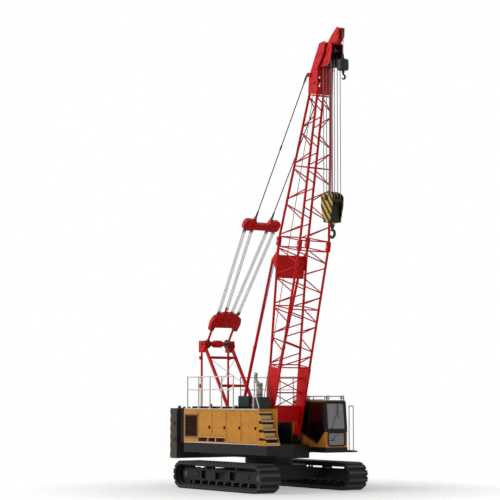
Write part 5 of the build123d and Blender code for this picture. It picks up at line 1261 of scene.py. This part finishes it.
    def _main_hook(self) -> None:
        """Swivel collar and the sprung latch across the hook's mouth."""
        top = np.array([self.fall_x, 0, self.block_bottom - 0.08])
        collar = [(0, 0), (0.075, 0), (0.08, -0.02), (0.06, -0.05), (0.055, -0.09), (0, -0.09)]
        latch = [(-0.012, 0.0), (0.012, 0.0), (0.018, -0.16), (-0.018, -0.16)]
        parts = [turned(collar, top, Z, 28),
                 plate(latch, 0.04, top + (0, 0.052, -0.16), unit((0, 0.55, 0.84)), X),
                 disc(0.012, -0.05, 0.05, top + (0, 0.03, -0.15), X, 12)]
        self.shop.piece("hook_collar_and_latch", parts, HOOK, "main_hook")

    def _aux_hook(self) -> None:
        """Wedge socket over the ball, and the small tapering hook under it."""
        base, top = low("aux_hook")[2], high("aux_hook")[2]
        centre, sides = self.aux_x * X, 14
        wedge = [(0, 0), (0.06, 0), (0.06, 0.03), (0.035, 0.06), (0.03, 0.15), (0.018, 0.19), (0, 0.19)]
        turn = np.radians(np.linspace(90, -150, 22))
        arc = np.stack([0 * turn, 0.075 * np.cos(turn), base - 0.115 + 0.075 * np.sin(turn)], -1) + centre
        path = np.concatenate([[centre + (base + 0.03) * Z], arc])
        sizes = np.concatenate([[0.03], np.linspace(0.03, 0.034, 12), np.linspace(0.033, 0.013, 10)])
        skin, line = tube(path, 1.0, sides), np.repeat(path, sides, 0)
        skin.points = line + (skin.points - line) * np.repeat(sizes, sides)[:, None]
        parts = [turned(wedge, centre + top * Z, Z, 20), skin]
        self.shop.piece("aux_socket_and_hook", parts, HOOK, "aux_fall", BLOCK_BLACK.slot)
        band = disc(0.184, 0, 0.03, centre + (top - 0.20) * Z, Z, 40)
        self.shop.piece("aux_ball_band", band, BLOCK_BLACK, "aux_fall")


@dataclass(frozen=True)
class Door:
    """A housing door: its node, its x and z range, the side it faces and its lock's x."""

    node: str
    x: Pair
    z: Pair
    side: int
    lock: float


DOORS = (
    Door("door_right_rear", (-2.06, -1.22), (1.77, 2.61), -1, -1.38),
    Door("door_right_middle", (-1.21, -0.35), (1.77, 2.61), -1, -0.46),
    Door("door_right_front", (-0.34, 0.53), (1.56, 2.61), -1, 0.44),
    Door("door_right_fore", (0.54, 1.465), (1.56, 2.61), -1, 1.37),
    Door("door_left_rear", (-2.06, -0.90), (1.77, 2.61), 1, -1.06),
    Door("door_left_front", (-0.89, 0.25), (1.77, 2.61), 1, 0.10),
)


@dataclass
class Upper(Assembly):
    """The slewing frame, housings, doors, counterweight, winches and gantry."""

    face: float = 1.5
    deck: float = 1.5
    top: float = 2.69
    housing_rear: float = -2.95
    housing_fronts: tuple[tuple[int, float], ...] = ((-1, 1.51), (1, 0.31))
    gantry_at: Point = GANTRY_HEAD
    foothold_edges: tuple[float, ...] = (-2.10, -1.47, -1.00, -0.39)
    foothold_z: Pair = (1.55, 1.73)
    stair_x: Pair = (1.516, 2.02)
    stair_treads: tuple[float, ...] = (1.78, 2.06, 2.34, 2.62)
    stair_slots: tuple[Pair, ...] = ((1.665, 1.745), (1.93, 2.025), (2.21, 2.305), (2.49, 2.585))
    exhaust_at: Point = (0.88, -1.0, 0.0)
    lock_height: float = 2.06
    rear_post: float = -2.105
    bay_side: float = 0.712
    slab_middles: Pair = (1.62, 2.16)
    marks_z: Pair = (0.97, 2.67)
    head_face: float = 0.638
    leg_face: float = 0.615
    flange_face: float = 0.331

    def build(self) -> None:
        """Dresses the upper's nodes and adds its fittings."""
        for finish, nodes in (
            (OCHRE, "housing_right housing_left front_stair " + " ".join(door.node for door in DOORS)),
            (GREY, "counterweight_lower counterweight_middle counterweight_upper"),
            (CHASSIS, "slewing_frame boom_foot_brackets"),
            (BLACK, "rear_frame winch_stands side_grilles walkway_pads engine_block"),
            (GREEN, "deck_boxes"), (PALE, "handrails"), (MUFFLER, "exhaust_stack"),
            (STEEL, "main_winch aux_winch luffing_winch boom_foot_pins"),
            (RED, "gantry_legs gantry_struts gantry_head"),
        ):
            self.shop.dress(finish, nodes)
        for door in DOORS:
            self._door(door)
        self._trim()
        self._foothold()
        self._stair()
        self._counterweight()
        self._deck()
        self._exhaust()
        self._gantry()
        self._winches()

    def _strip(self, x: Pair, z: Pair, margin: Pair, radius: float, width: float, depth: float,
               side: int, out: float = 0.002) -> Surface:
        """A strip round an opening in a housing's side.

        Args:
            x: the opening's x range.
            z: its z range.
            margin: how much smaller than the ranges the strip is.
            radius: radius of its corners.
            width: its width.
            depth: its depth.
            side: the side it faces.
            out: distance of its middle from the side's face.
        Returns:
            The strip.
        """
        return frame_strip(opening(x, z, margin, radius), width, depth, side * (self.face + out) * Y, X, Z)

    def _door(self, door: Door) -> None:
        """A raised frame, a round lock and hinges on one door.

        Args:
            door: the door.
        """
        out = door.side * Y
        edge = self._strip(door.x, door.z, (0.05, 0.05), 0.03, 0.014, 0.008, door.side)
        self.shop.piece(door.node + "_frame", edge, OCHRE, door.node)
        cup = [(0, 0), (0.055, 0), (0.055, 0.012), (0.045, 0.018), (0.038, 0.008), (0, 0.008)]
        at = np.array([door.lock, 0, self.lock_height]) + self.face * out
        parts = [turned(cup, at, out, 28), box_at(at + 0.012 * out, (0.018, 0.02, 0.07))]
        parts += [disc(0.007, -0.05, 0.05, (door.x[0] + 0.003) * X + self.face * out + z * Z, Z, 12)
                  for z in (door.z[0] + 0.16, door.z[1] - 0.16)]
        self.shop.piece(door.node + "_lock", parts, BLACK, door.node)

    def _trim(self) -> None:
        """Gutter strips, seams and screws of the housings, black sheets on the bay walls that paint the bay's shade,
        and frames over the cooler openings.
        """
        base, top, parts, seams, shade_sheets = self.deck, self.top, [], [], []
        for side, front in self.housing_fronts:
            x, length = (front + self.housing_rear) / 2, front - self.housing_rear
            for z, tall, deep in ((top - 0.012, 0.024, 0.016), (base + 0.030, 0.022, 0.012)):
                parts.append(box_at((x, side * (self.face + 0.004), z), (length, deep, tall)))
            post = side * (self.face + 0.001)
            seams.append(box_at((self.rear_post, post, (top + base) / 2), (0.012, 0.012, top - base - 0.10)))
            seams.append(box_at((x, side * (self.face + 0.002), base + 0.008), (length, 0.02, 0.016)))
            # Black sheets on the bay walls: painted shade for the shadowed bay between the housings.
            inner, end = side * self.bay_side, 1.48 if side < 0 else front
            shade_sheets.append(box((-2.9, inner - 0.006, 1.51), (end, inner + 0.006, 2.66)))
        self.add("housing_trim", parts, PALE)
        self.add("housing_seams", seams, BLACK)
        self.add("bay_painted_shade_sheets", shade_sheets, BLACK)
        spots = grid_of(np.linspace(-2.8, 1.4, 15), -self.face - 0.002, top - 0.055)
        self.add("housing_screws", bolt_rows(spots, 0.007, 0.006, -Y), STEEL)
        # The cooler-opening frames are ochre darkened as painted shade.
        frames = [self._strip((-2.91, -2.15), (1.73, 2.46), (-0.05, -0.05), 0.03, 0.035, 0.014, side, 0.004)
                  for side in SIDES]
        self.add("grille_frames", frames, OCHRE_PAINTED_SHADE)

    def _foothold(self) -> None:
        """Framed openings with open-toothed treads in the step recess of the right housing."""
        edges, (base, top), face = self.foothold_edges, self.foothold_z, -self.face
        bays = list(zip(edges, edges[1:]))
        # The foothold frames are paler ochre, a painted highlight on their edges.
        frames = [self._strip(bay, self.foothold_z, (0.03, 0.02), 0.02, 0.022, 0.016, -1) for bay in bays]
        self.add("foothold_frames", frames, OCHRE_PAINTED_HIGHLIGHT)
        # The recess posts and their back plates are ochre darkened as painted shade.
        posts = [box((x - 0.03, face, base), (x + 0.03, face + 0.20, top)) for x in edges[1:-1]]
        posts += [box((start + 0.012, face + 0.205, base + 0.004), (end - 0.012, face + 0.215, top - 0.004))
                  for start, end in bays]
        self.add("foothold_posts", posts, OCHRE_PAINTED_SHADE)
        treads = [tread((start + 0.05, end - 0.05), (face + 0.02, face + 0.19), base + 0.012) for start, end in bays]
        self.add("foothold_treads", treads, STEEL)

    def _front_edge(self, z: float) -> float:
        """The stair's slanted front edge at a height."""
        return self.stair_x[1] - 0.46 * (z - self.deck) / 1.19

    def _stair_side(self, base: float, top: float, y: float) -> Surface:
        """A piece of the stair's side plates between two heights."""
        rear, edge = self.stair_x[0], self._front_edge
        return plate([(rear, base), (edge(base), base), (edge(top), top), (rear, top)], 0.024, y * Y, X, Z, 0.003)

    @staticmethod
    def _step(x: Pair, z: Pair, wide: float = 0.0, bevel: float = 0.003) -> Surface:
        """A bar across the stair, between its side plates or a little wider."""
        return box((x[0], -1.474 - wide, z[0]), (x[1], -0.986 + wide, z[1]), bevel, 0.004)

    def _stair(self) -> None:
        """The stair at the deck's front corner: a slotted outer plate, an inner plate, treads, and black backing in the
        slots as painted shade for the toe recesses.
        """
        rear, outer, front = self.stair_x[0], -1.4875, self._front_edge
        levels = [self.deck, *sum(self.stair_slots, ()), self.top]
        plates = [self._stair_side(a, b, outer) for a, b in zip(levels[::2], levels[1::2])]
        post = [(rear, self.deck), (rear + 0.05, self.deck), (rear + 0.05, self.top), (rear, self.top)]
        plates += [plate(post, 0.022, outer * Y, X, Z, 0.002), self._stair_side(self.deck, self.top, -0.9725)]
        plates += [self._step((rear, front(z) - 0.012), (z - 0.034, z)) for z in self.stair_treads]
        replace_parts(self.add("stair_plates", plates, OCHRE), "front_stair")
        # Lips, nosings and the nose bar are paler ochre, a painted highlight on the stair's edges.
        lips = [self._step((front(z) - 0.036, front(z) - 0.010), (z - 0.07, z - 0.030), 0.002, 0.004)
                for z in self.stair_treads]
        lips += [self._step((front(z) - 0.16, front(z) - 0.14), (z, z + 0.13)) for z in self.stair_treads[:-1]]
        nose = self.stair_x[1]
        lips.append(self._step((nose - 0.03, nose - 0.008), (self.deck + 0.002, self.deck + 0.10)))
        self.add("stair_lips", lips, OCHRE_PAINTED_HIGHLIGHT)
        # Black backing in the slots: painted shade for the toe recesses behind the outer plate.
        shade_backing = [box((rear, -1.455, a), (front(b) - 0.07, -0.99, b), 0.003, 0.004) for a, b in self.stair_slots]
        self.add("stair_shade_backing", shade_backing, BLACK)
        treads = [tread((rear + 0.03, front(z) - 0.03), (-1.46, -1.0), z + 0.001) for z in self.stair_treads]
        self.add("stair_treads", treads, STEEL)

    def _counterweight(self) -> None:
        """Tie bolts, keys and the hazard marks on the rear corners of the slabs."""
        bolts = bolt_rows(grid_of((-3.95, -3.62), (-0.9, 0.9), self.top), 0.05, 0.05)
        self.add("counterweight_bolts", bolts, STEEL)
        keys = [box_at((x, y, z), size, 0.006, 0.01) for x, ys, size in (
            (-3.605, (-1.5, 1.5), (0.11, 0.024, 0.11)), (-4.07, (-0.8, 0.8), (0.016, 0.18, 0.10)))
            for y in ys for z in self.slab_middles]
        base, top = self.marks_z
        corner = [(0.0, base), (0.35, base), (0.35, top), (0.0, top)]
        marks = [box((-3.91, -1.504, base), (-3.85, -1.498, top), 0.001, 0.001),
                 plate(corner, 0.005, (-3.911, -1.501, 0), unit((-0.16, 0.32, 0)), Z, 0.001)]
        self.pair("counterweight_marks", marks, BANDS)
        self.add("counterweight_keys", keys, BLACK)

    def _deck(self) -> None:
        """Toothed walkway treads, rail feet, and the deck boxes' lids and locks."""
        pads = [tread((-2.80, 0.30), (side * 1.1 - 0.13, side * 1.1 + 0.13), self.top + 0.004) for side in SIDES]
        self.add("roof_treads", pads, STEEL)
        feet = [box_at((x, side * 1.41, self.top + 0.010), (0.12, 0.09, 0.02)) for side, end in ((-1, -0.09), (1, 0.21))
                for x in np.linspace(-2.88, end, 5)]
        self.add("rail_feet", feet, PALE)
        lids = [box_at((-0.28, -0.79, 3.105), (0.64, 0.12, 0.016)), box_at((0.99, -1.0, 3.075), (0.38, 0.38, 0.014))]
        self.add("deck_box_lids", lids, GREEN)
        self.add("deck_box_locks", bolt_rows(grid_of((-0.5, -0.06), -0.79, 3.11), 0.02, 0.02), STEEL)

    def _exhaust(self) -> None:
        """Clamps round the silencer, a bolted flange and a rain flap on the tail pipe."""
        hoops = ((0.1, 0.112, 3.14, 0.035, 32), (0.1, 0.112, 3.45, 0.035, 32), (0.05, 0.095, 3.05, 0.025, 28))
        parts = [turned([(inner, z), (outer, z), (outer, z + tall), (inner, z + tall)], self.exhaust_at, Z, sides)
                 for inner, outer, z, tall, sides in hoops]
        parts += [disc(0.068, 0, 0.006, (0.668, -1.0, 3.862), (0.35, 0, 0.94)),
                  disc(0.01, -0.03, 0.03, (0.735, -1.0, 3.838), Y, 10)]
        self.add("exhaust_clamps", parts, STEEL)

    def _gantry(self) -> None:
        """The drum of sheaves between the gantry's head plates, nuts, tie rods and bosses."""
        at = np.array(self.gantry_at)
        half = [(0.13, 0.15), (0.085, 0.17), (0.085, 0.26), (0.075, 0.30), (0.046, 0.30)]
        barrel = turned([(r, -h) for r, h in reversed(half)] + half, at, Y, 36)
        wheels = [sheave(at + y * Y, 0.165, 0.045) for y in (-0.40, 0.40)]
        wheels.append(boss(at + self.head_face * Y, Y, 0.07, 0.035).both_sides())
        self.pair("gantry_tie_rods", [tube([(-2.87, -0.53, 4.42), (-2.20, 0.53, 3.50)], 0.010, 8)], PALE)
        self.add("gantry_barrel", barrel, RED)
        self.add("gantry_sheaves", wheels, STEEL)
        feet = [boss((x, self.leg_face, z), Y, 0.07, 0.03) for x, z in ((-2.62, 2.78), (-3.34, 3.47), (-3.34, 4.46))]
        self.pair("gantry_bosses", feet, RED)

    def _winches(self) -> None:
        """Rope windings, flange bolts and ribs, each on its own winch, and keepers on the boom's foot pins."""
        turns, half = 22, 0.29
        pitch = 2 * half / turns
        lift = np.arange(turns)[:, None] * pitch - half + np.array([0, 0.25, 0.5, 0.75]) * pitch
        swell = np.broadcast_to((0.004, 0.012, 0.016, 0.012), lift.shape)
        for node, drum, flange in (("luffing_winch", 0.19, 0.33), ("aux_winch", 0.24, 0.40),
                                   ("main_winch", 0.24, 0.40)):
            centre = middle(node) * (1, 0, 1)
            waves = np.stack([drum + swell, lift], -1).reshape(-1, 2)
            profile = [(drum * 0.9, -half - 0.002), *waves, (drum * 0.9, half + 0.002)]
            self.shop.piece(node + "_windings", turned(profile, centre, Y, 44), ROPE, node, sharp=50)
            out = centre + self.flange_face * Y
            heads = ring_of(bolt(0.013, 0.014, Y), out, Y, (flange - 0.05, 0, 0), 12)
            ribs = ring_of(box((-0.012, -0.004, -0.05), (0.012, 0.012, 0.05)), out, Y, (0.2, 0, 0), 6)
            self.shop.piece(node + "_bolts", (heads + ribs).both_sides(), STEEL, node)
        foot = joint_at("boom_luff") * (1, 0, 1) + high("boom_foot_pins")[1] * Y
        cap = [(0, 0), (0.07, 0), (0.07, 0.014), (0.03, 0.02), (0, 0.02)]
        bolts = bolt_rows([foot + (x, 0.014, 0) for x in (-0.045, 0.045)], 0.011, 0.012, Y)
        self.pair("boom_foot_keepers", [turned(cap, foot, Y, 24), bolts], STEEL)


@dataclass
class Cab(Assembly):
    """The operator's cab: glazing trim, roof, lamps, and the seat and controls inside."""

    x: Pair = (0.38, 2.24)
    y: Pair = (0.72, 1.60)
    floor: float = 1.465
    roof: float = 2.95
    rake: float = 0.08
    bend_height: float = 1.98
    seat_y: float = 1.16
    console_reach: float = 0.33
    pedals_y: tuple[float, ...] = (1.02, 1.18, 1.34)
    lamps_y: Pair = (0.86, 1.46)
    beacon_at: Pair = (0.62, 1.16)
    hinge_x: float = 0.866
    handle_x: float = 1.74

    def build(self) -> None:
        """Dresses the cab's nodes and adds its trim and interior."""
        for finish, nodes in ((OCHRE, "cab_shell cab_door"), (PALE, "cab_fittings"),
                              (GLASS, "cab_glass cab_door_glass")):
            self.shop.dress(finish, nodes)
        self._roof()
        self._front()
        self._sides()
        self._outside()
        self._door()
        self._seat()
        self._controls()

    def _raked(self, z: float, out: float = 0.0) -> float:
        """The windscreen's x at a height, moved out."""
        return self.x[1] - self.rake * max(0.0, z - self.bend_height) / 0.97 + out

    def _roof(self) -> None:
        """The tan roof skin with a hatch, and the black band under its overhang."""
        front, roof = self._raked(self.roof), self.roof
        x, y = (self.x[0] + front) / 2, sum(self.y) / 2
        length, width = front - self.x[0], self.y[1] - self.y[0]
        skin = block((length - 0.01, 0.035, width - 0.01), (x, y, roof + 0.010), 0.05, 0.014, X, -Y)
        hatch = block((0.62, 0.03, 0.56), (x - 0.25, y, roof + 0.035), 0.06, 0.012, X, -Y)
        self.add("cab_roof", [skin, hatch], TAN)
        outline = round_outline(length + 0.014, width + 0.014, 0.05, 6) + (x, y)
        self.add("cab_roof_band", frame_strip(outline, 0.026, 0.05, (roof - 0.040) * Z, X, Y), BLACK)

    def _front(self) -> None:
        """Black frames round the windscreen and the lower window, the sill, the right pillar and the wipers."""
        parts = []
        for base, top, near, far, width, corner in ((1.99, 2.905, 0.765, 1.555, 0.085, 0.05),
                                                    (1.475, 1.915, 0.805, 1.515, 0.05, 0.09)):
            height = (base + top) / 2
            lean = (self._raked(top) - self._raked(base), 0, top - base)
            outline = round_outline(far - near, top - base, corner, 5)
            at = (self._raked(height, 0.006), (near + far) / 2, height)
            parts.append(frame_strip(outline, width, 0.026, at, Y, lean))
        parts.append(box((self.x[1] - 0.01, 0.73, 1.925), (self.x[1] + 0.035, 1.59, 1.985), 0.008, 0.01))
        pillar = [(2.125, 1.935), (2.243, 1.935), (2.243, 1.98), (2.168, 2.90), (2.06, 2.90)]
        parts.append(plate(pillar, 0.012, (self.y[0] - 0.003) * Y, X, Z))
        self.add("cab_front_frames", parts, BLACK)
        arms = []
        upright, level = ((-0.24, 0.02), (0.0, 0.02), (0.24, 0.02)), ((0.0, -0.14), (0.0, 0.0), (0.0, 0.14))
        for pivot, tip, blade in (((2.03, 0.95), (2.62, 1.22), upright), ((1.93, 1.30), (1.66, 0.95), level)):
            path = np.array([(self._raked(z, 0.028), y, z) for z, y in (pivot, tip)])
            wiper = [(self._raked(tip[0] + dz, 0.022), tip[1] + dy, tip[0] + dz) for dz, dy in blade]
            arms += [tube(path, 0.007, 8), disc(0.02, 0, 0.03, path[0] - 0.026 * X, X, 14), tube(wiper, 0.010, 6)]
        self.add("cab_wipers", arms, RUBBER)

    def _sides(self) -> None:
        """Rubber round the side window, a window bar, the cab's base and vents."""
        (rear, front), (near, far) = self.x, self.y
        outline = np.array([(0.74, 1.96), (1.755, 1.56), (2.13, 1.93), (2.07, 2.86), (0.74, 2.86)])
        gasket = frame_strip(inset(outline, -0.012), 0.03, 0.02, (near - 0.002) * Y, X, Z)
        bar = box((1.30, near + 0.006, 1.78), (1.325, near + 0.026, 2.85), 0.004, 0.005)
        self.add("cab_side_gasket", [gasket, bar], RUBBER)
        base = box((rear - 0.002, near - 0.012, 1.30), (front + 0.008, far + 0.012, 1.425), 0.008, 0.012)
        self.add("cab_base", base, BLACK)
        # The vents are ochre darkened as painted shade.
        vents = [box_at((0.56, near - 0.002, 2.15 + 0.045 * row), (0.24, 0.016, 0.02)) for row in range(6)]
        self.add("cab_vents", vents, OCHRE_PAINTED_SHADE)

    def _outside(self) -> None:
        """Work lamps, the roof beacon and the catwalk's treads."""
        lamps, lenses = [], []
        shell = [(0, 0), (0.045, 0.0), (0.062, 0.06), (0.066, 0.075), (0.056, 0.075), (0, 0.065)]
        lens = [(0, 0.066), (0.055, 0.070), (0.030, 0.078), (0, 0.080)]
        for y in self.lamps_y:
            lamps += [turned(shell, (2.10, y, 3.07), X, 26), box((2.085, y - 0.012, 2.965), (2.115, y + 0.012, 3.03))]
            lenses.append(turned(lens, (2.10, y, 3.07), X, 26))
        self.add("cab_work_lamps", lamps, BLACK)
        self.add("cab_lamp_lenses", lenses, LAMP)
        dome = [(0.042, 0), (0.042, 0.06), (0.034, 0.085), (0.016, 0.098), (0, 0.10)]
        self.add("beacon_base", disc(0.05, 0, 0.03, (*self.beacon_at, 3.0), Z), BLACK)
        self.add("beacon_dome", turned(dome, (*self.beacon_at, 3.028), Z, 24), AMBER)
        self.add("catwalk_treads", tread((0.45, 2.15), (1.66, 2.00), 1.302), STEEL)

    def _door(self) -> None:
        """The door's window rubber, its handle and its hinges."""
        face, x = self.y[1], self.handle_x
        rubber = frame_strip(round_outline(0.80, 0.72, 0.06) + (1.37, 2.413), 0.03, 0.02, (face + 0.002) * Y, X, Z)
        corners = [(x, face + out, z) for out, z in ((0, 1.88), (0.05, 1.88), (0.05, 2.02), (0, 2.02))]
        parts = [rubber, tube(bend(corners, 0.03), 0.011), box_at((x, face + 0.004, 1.95), (0.07, 0.012, 0.22))]
        parts += [disc(0.014, -0.05, 0.05, (self.hinge_x, face, z), Z, 12) for z in (1.62, 2.72)]
        self.shop.piece("cab_door_trim", parts, RUBBER, "cab_door")

    def _seat(self) -> None:
        """Padded cushions and a frame in place of the plain seat."""
        floor, y = self.floor, self.seat_y
        pads = [self._cushion(name, (x, y, floor + lift), size, lean) for name, x, lift, size, lean in (
            ("seat_cushion", 1.18, 0.40, (0.44, 0.46, 0.13), 0.0),
            ("seat_back", 0.885, 0.695, (0.49, 0.44, 0.12), 79.0),
            ("seat_head", 0.83, 1.005, (0.13, 0.28, 0.09), 79.0))]
        parts = [box((0.99, y - 0.16, floor + 0.002), (1.31, y + 0.16, floor + 0.05)),
                 box((1.05, y - 0.10, floor + 0.05), (1.25, y + 0.10, floor + 0.285)),
                 plate([(0, 0), (0.60, 0), (0.60, 0.018), (0, 0.018)], 0.40, (0.892, y, floor + 0.40),
                       (-0.172, 0, 0.985), (-0.985, 0, -0.172)),
                 box((0.98, y - 0.21, floor + 0.30), (1.38, y + 0.21, floor + 0.33))]
        for obj in (*pads, self.add("seat_frame", parts, RUBBER)):
            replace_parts(obj, "cab_seat")

    def _cushion(self, name: str, at: Point, size: Point, lean: float) -> bpy.types.Object:
        """A cushion: a dense box blown up by cloth pressure into a crowned, creased pad.

        Args:
            name: its name.
            at: its centre.
            size: length, width and thickness.
            lean: lean from level, in degrees about y.
        Returns:
            The cushion.
        """
        length, width, thick = size
        body = block((length * 0.92, thick * 0.72, width * 0.92), ORIGIN, 0.05, 0.025, X, Y)
        obj = self.shop.piece(name, body, SEAT, self.body, sharp=60)
        modifier = obj.modifiers.new("remesh", "REMESH")
        modifier.mode, modifier.voxel_size = "VOXEL", 0.009
        scene, frames = bpy.context.scene, 20
        cloth = obj.modifiers.new("cloth", "CLOTH")
        cloth.settings.use_pressure = True
        cloth.settings.uniform_pressure_force = 4.0
        cloth.settings.effector_weights.gravity = 0.0
        cloth.point_cache.frame_start, cloth.point_cache.frame_end = 1, frames
        for number in range(1, frames + 1):
            scene.frame_set(number)
        made = bpy.data.meshes.new_from_object(obj.evaluated_get(bpy.context.evaluated_depsgraph_get()))
        obj.modifiers.clear()
        obj.data = made
        points = np.empty(len(made.vertices) * 3, np.float32)
        made.vertices.foreach_get("co", points)
        points = points.reshape(-1, 3)
        fit = np.minimum(1.0, np.array(size) / np.ptp(points, axis=0))
        points = (points - (points.max(0) + points.min(0)) / 2) * fit
        points = points @ about(Y, [-math.radians(lean)])[0].T + np.array(at)
        made.vertices.foreach_set("co", points.astype(np.float32).ravel())
        made.polygons.foreach_set("use_smooth", np.ones(len(made.polygons), bool))
        made.update()
        if not made.materials:
            made.materials.append(self.shop.finisher(SEAT))
        scene.frame_set(1)
        return obj

    def _controls(self) -> None:
        """Side consoles with levers, the monitor, pedals and a floor mat."""
        floor, parts = self.floor, []
        knob = [(0, 0), (0.022, 0.01), (0.026, 0.05), (0.018, 0.085), (0, 0.09)]
        for y in (self.seat_y - self.console_reach, self.seat_y + self.console_reach):
            parts += [box((1.02, y - 0.06, floor + 0.30), (1.50, y + 0.06, floor + 0.50), 0.02, 0.04),
                      box((1.08, y - 0.05, floor), (1.40, y + 0.05, floor + 0.30), 0.01, 0.02),
                      tube([(1.42, y, floor + 0.49), (1.45, y, floor + 0.66)], 0.010, 8),
                      turned(knob, (1.45, y, floor + 0.64), Z, 16)]
        parts += [box((1.98, 0.86, floor + 0.55), (2.03, 1.12, floor + 0.76), 0.01, 0.02),
                  tube([(2.05, 0.99, floor + 0.40), (2.01, 0.99, floor + 0.60)], 0.014, 8),
                  box((0.62, 0.79, floor + 0.002), (2.13, 1.53, floor + 0.012), 0.003, 0.01)]
        pedal = [(-0.07, -0.045), (0.07, -0.045), (0.07, 0.045), (-0.07, 0.045)]
        for y in self.pedals_y:
            parts += [plate(pedal, 0.016, (1.92, y, floor + 0.12), (0.8, 0, 0.6), Y),
                      tube([(1.93, y, floor + 0.1), (1.99, y, floor + 0.01)], 0.010, 8)]
        self.add("cab_controls", parts, RUBBER)


# ------------------------------------------------------------------ studio
@dataclass
class Studio:
    """Pale floor, soft lights and the camera."""

    camera_at: Point = (46.10, -32.30, 3.075)
    pitch: float = 5.07
    lens: float = 119.4
    shift: float = -0.038
    floor_radius: float = 60.0
    floor_rings: int = 24
    floor_fade: Pair = (3.4, 8.5)
    floor_alpha: float = 0.62
    ambient: float = 0.25

    def build(self) -> None:
        """Makes the camera, the world, the floor and the lights."""
        bpy.context.scene.view_settings.view_transform = "Standard"
        self._camera()
        self._world()
        self._floor()
        self._lamp("key", (-16, -38, 26), (0, 0, 5), 26, 12800)
        self._lamp("front", (38, 4, 14), (0, 0, 9), 20, 2300)

    @staticmethod
    def _placed(name: str, data: bpy.types.ID, at: Point = ORIGIN, heading: Vector | None = None) -> bpy.types.Object:
        """Puts an object into the scene.

        Args:
            name: its name.
            data: its mesh, camera or light.
            at: its place.
            heading: the direction it looks in, if any.
        Returns:
            The object.
        """
        obj = bpy.data.objects.new(name, data)
        obj.location = at
        if heading:
            obj.rotation_euler = heading.to_track_quat("-Z", "Y").to_euler()
        bpy.context.collection.objects.link(obj)
        return obj

    def _camera(self) -> None:
        """The camera, level with the cab roof and looking slightly up."""
        data = bpy.data.cameras.new("camera")
        data.lens, data.sensor_width, data.shift_x = self.lens, 36, self.shift
        heading = Vector((-self.camera_at[0], -self.camera_at[1], 0)).normalized()
        heading.z = math.tan(math.radians(self.pitch))
        bpy.context.scene.camera = self._placed("camera", data, self.camera_at, heading)

    def _world(self) -> None:
        """White to the camera and in reflections, and a soft grey light on the object."""
        world = bpy.data.worlds.new("world")
        world.use_nodes = True
        nodes = Nodes(world.node_tree)
        back = nodes.tree.nodes["Background"]
        path = nodes.add("LightPath").outputs
        seen = path["Is Camera Ray"]
        for label in ("Is Glossy Ray", "Is Transmission Ray"):
            seen = nodes.math("MAXIMUM", seen, path[label])
        nodes.put((1, 1, 1, 1), back.inputs["Color"])
        nodes.put(nodes.carried(seen, 0.0, 1.0, self.ambient, 1.0), back.inputs["Strength"])
        bpy.context.scene.world = world

    def _floor(self) -> None:
        """A pale round floor that fades into the white backdrop."""
        radius = np.linspace(0.02, 1, self.floor_rings) ** 1.5 * self.floor_radius
        flat = radius[:, None, None] * circle(1, 96)
        surface = rings(np.pad(flat, ((0, 0), (0, 0), (0, 1))), caps=False)
        mesh = bpy.data.meshes.new("floor")
        mesh.from_pydata(surface.points.tolist(), [], surface.corners.reshape(-1, 4).tolist())
        material = bpy.data.materials.new("studio_floor")
        material.use_nodes = True
        nodes = Nodes(material.node_tree)
        inputs = nodes.tree.nodes["Principled BSDF"].inputs
        reach = nodes.add("VectorMath")
        reach.operation = "LENGTH"
        nodes.put(nodes.place(), reach.inputs[0])
        fade = nodes.carried(reach.outputs["Value"], *self.floor_fade, self.floor_alpha, 0.0)
        for label, value in (("Base Color", (0.97, 0.97, 0.97, 1)), ("Roughness", 0.7),
                             ("Specular IOR Level", 0.1), ("Alpha", fade)):
            nodes.put(value, inputs[label])
        mesh.materials.append(material)
        self._placed("floor", mesh)

    def _lamp(self, name: str, at: Point, aim: Point, size: float, power: float) -> None:
        """One square soft lamp aimed at a point.

        Args:
            name: its name.
            at: its place.
            aim: the point it looks at.
            size: length of its sides.
            power: its power in watts.
        """
        data = bpy.data.lights.new(name, "AREA")
        data.energy, data.size = power, size
        self._placed(name, data, at, Vector(aim) - Vector(at)).visible_camera = False


def main() -> None:
    """Builds every sub-assembly in order."""
    logging.basicConfig(level=logging.INFO, format="%(name)s %(message)s")
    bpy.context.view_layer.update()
    shop = Workshop()
    for assembly in (Undercarriage(shop), Upper(shop), Cab(shop), Boom(shop), Rigging(shop)):
        assembly.build()
        log.info("%s done", type(assembly).__name__)
    Studio().build()


if __name__ == "__main__":
    main()
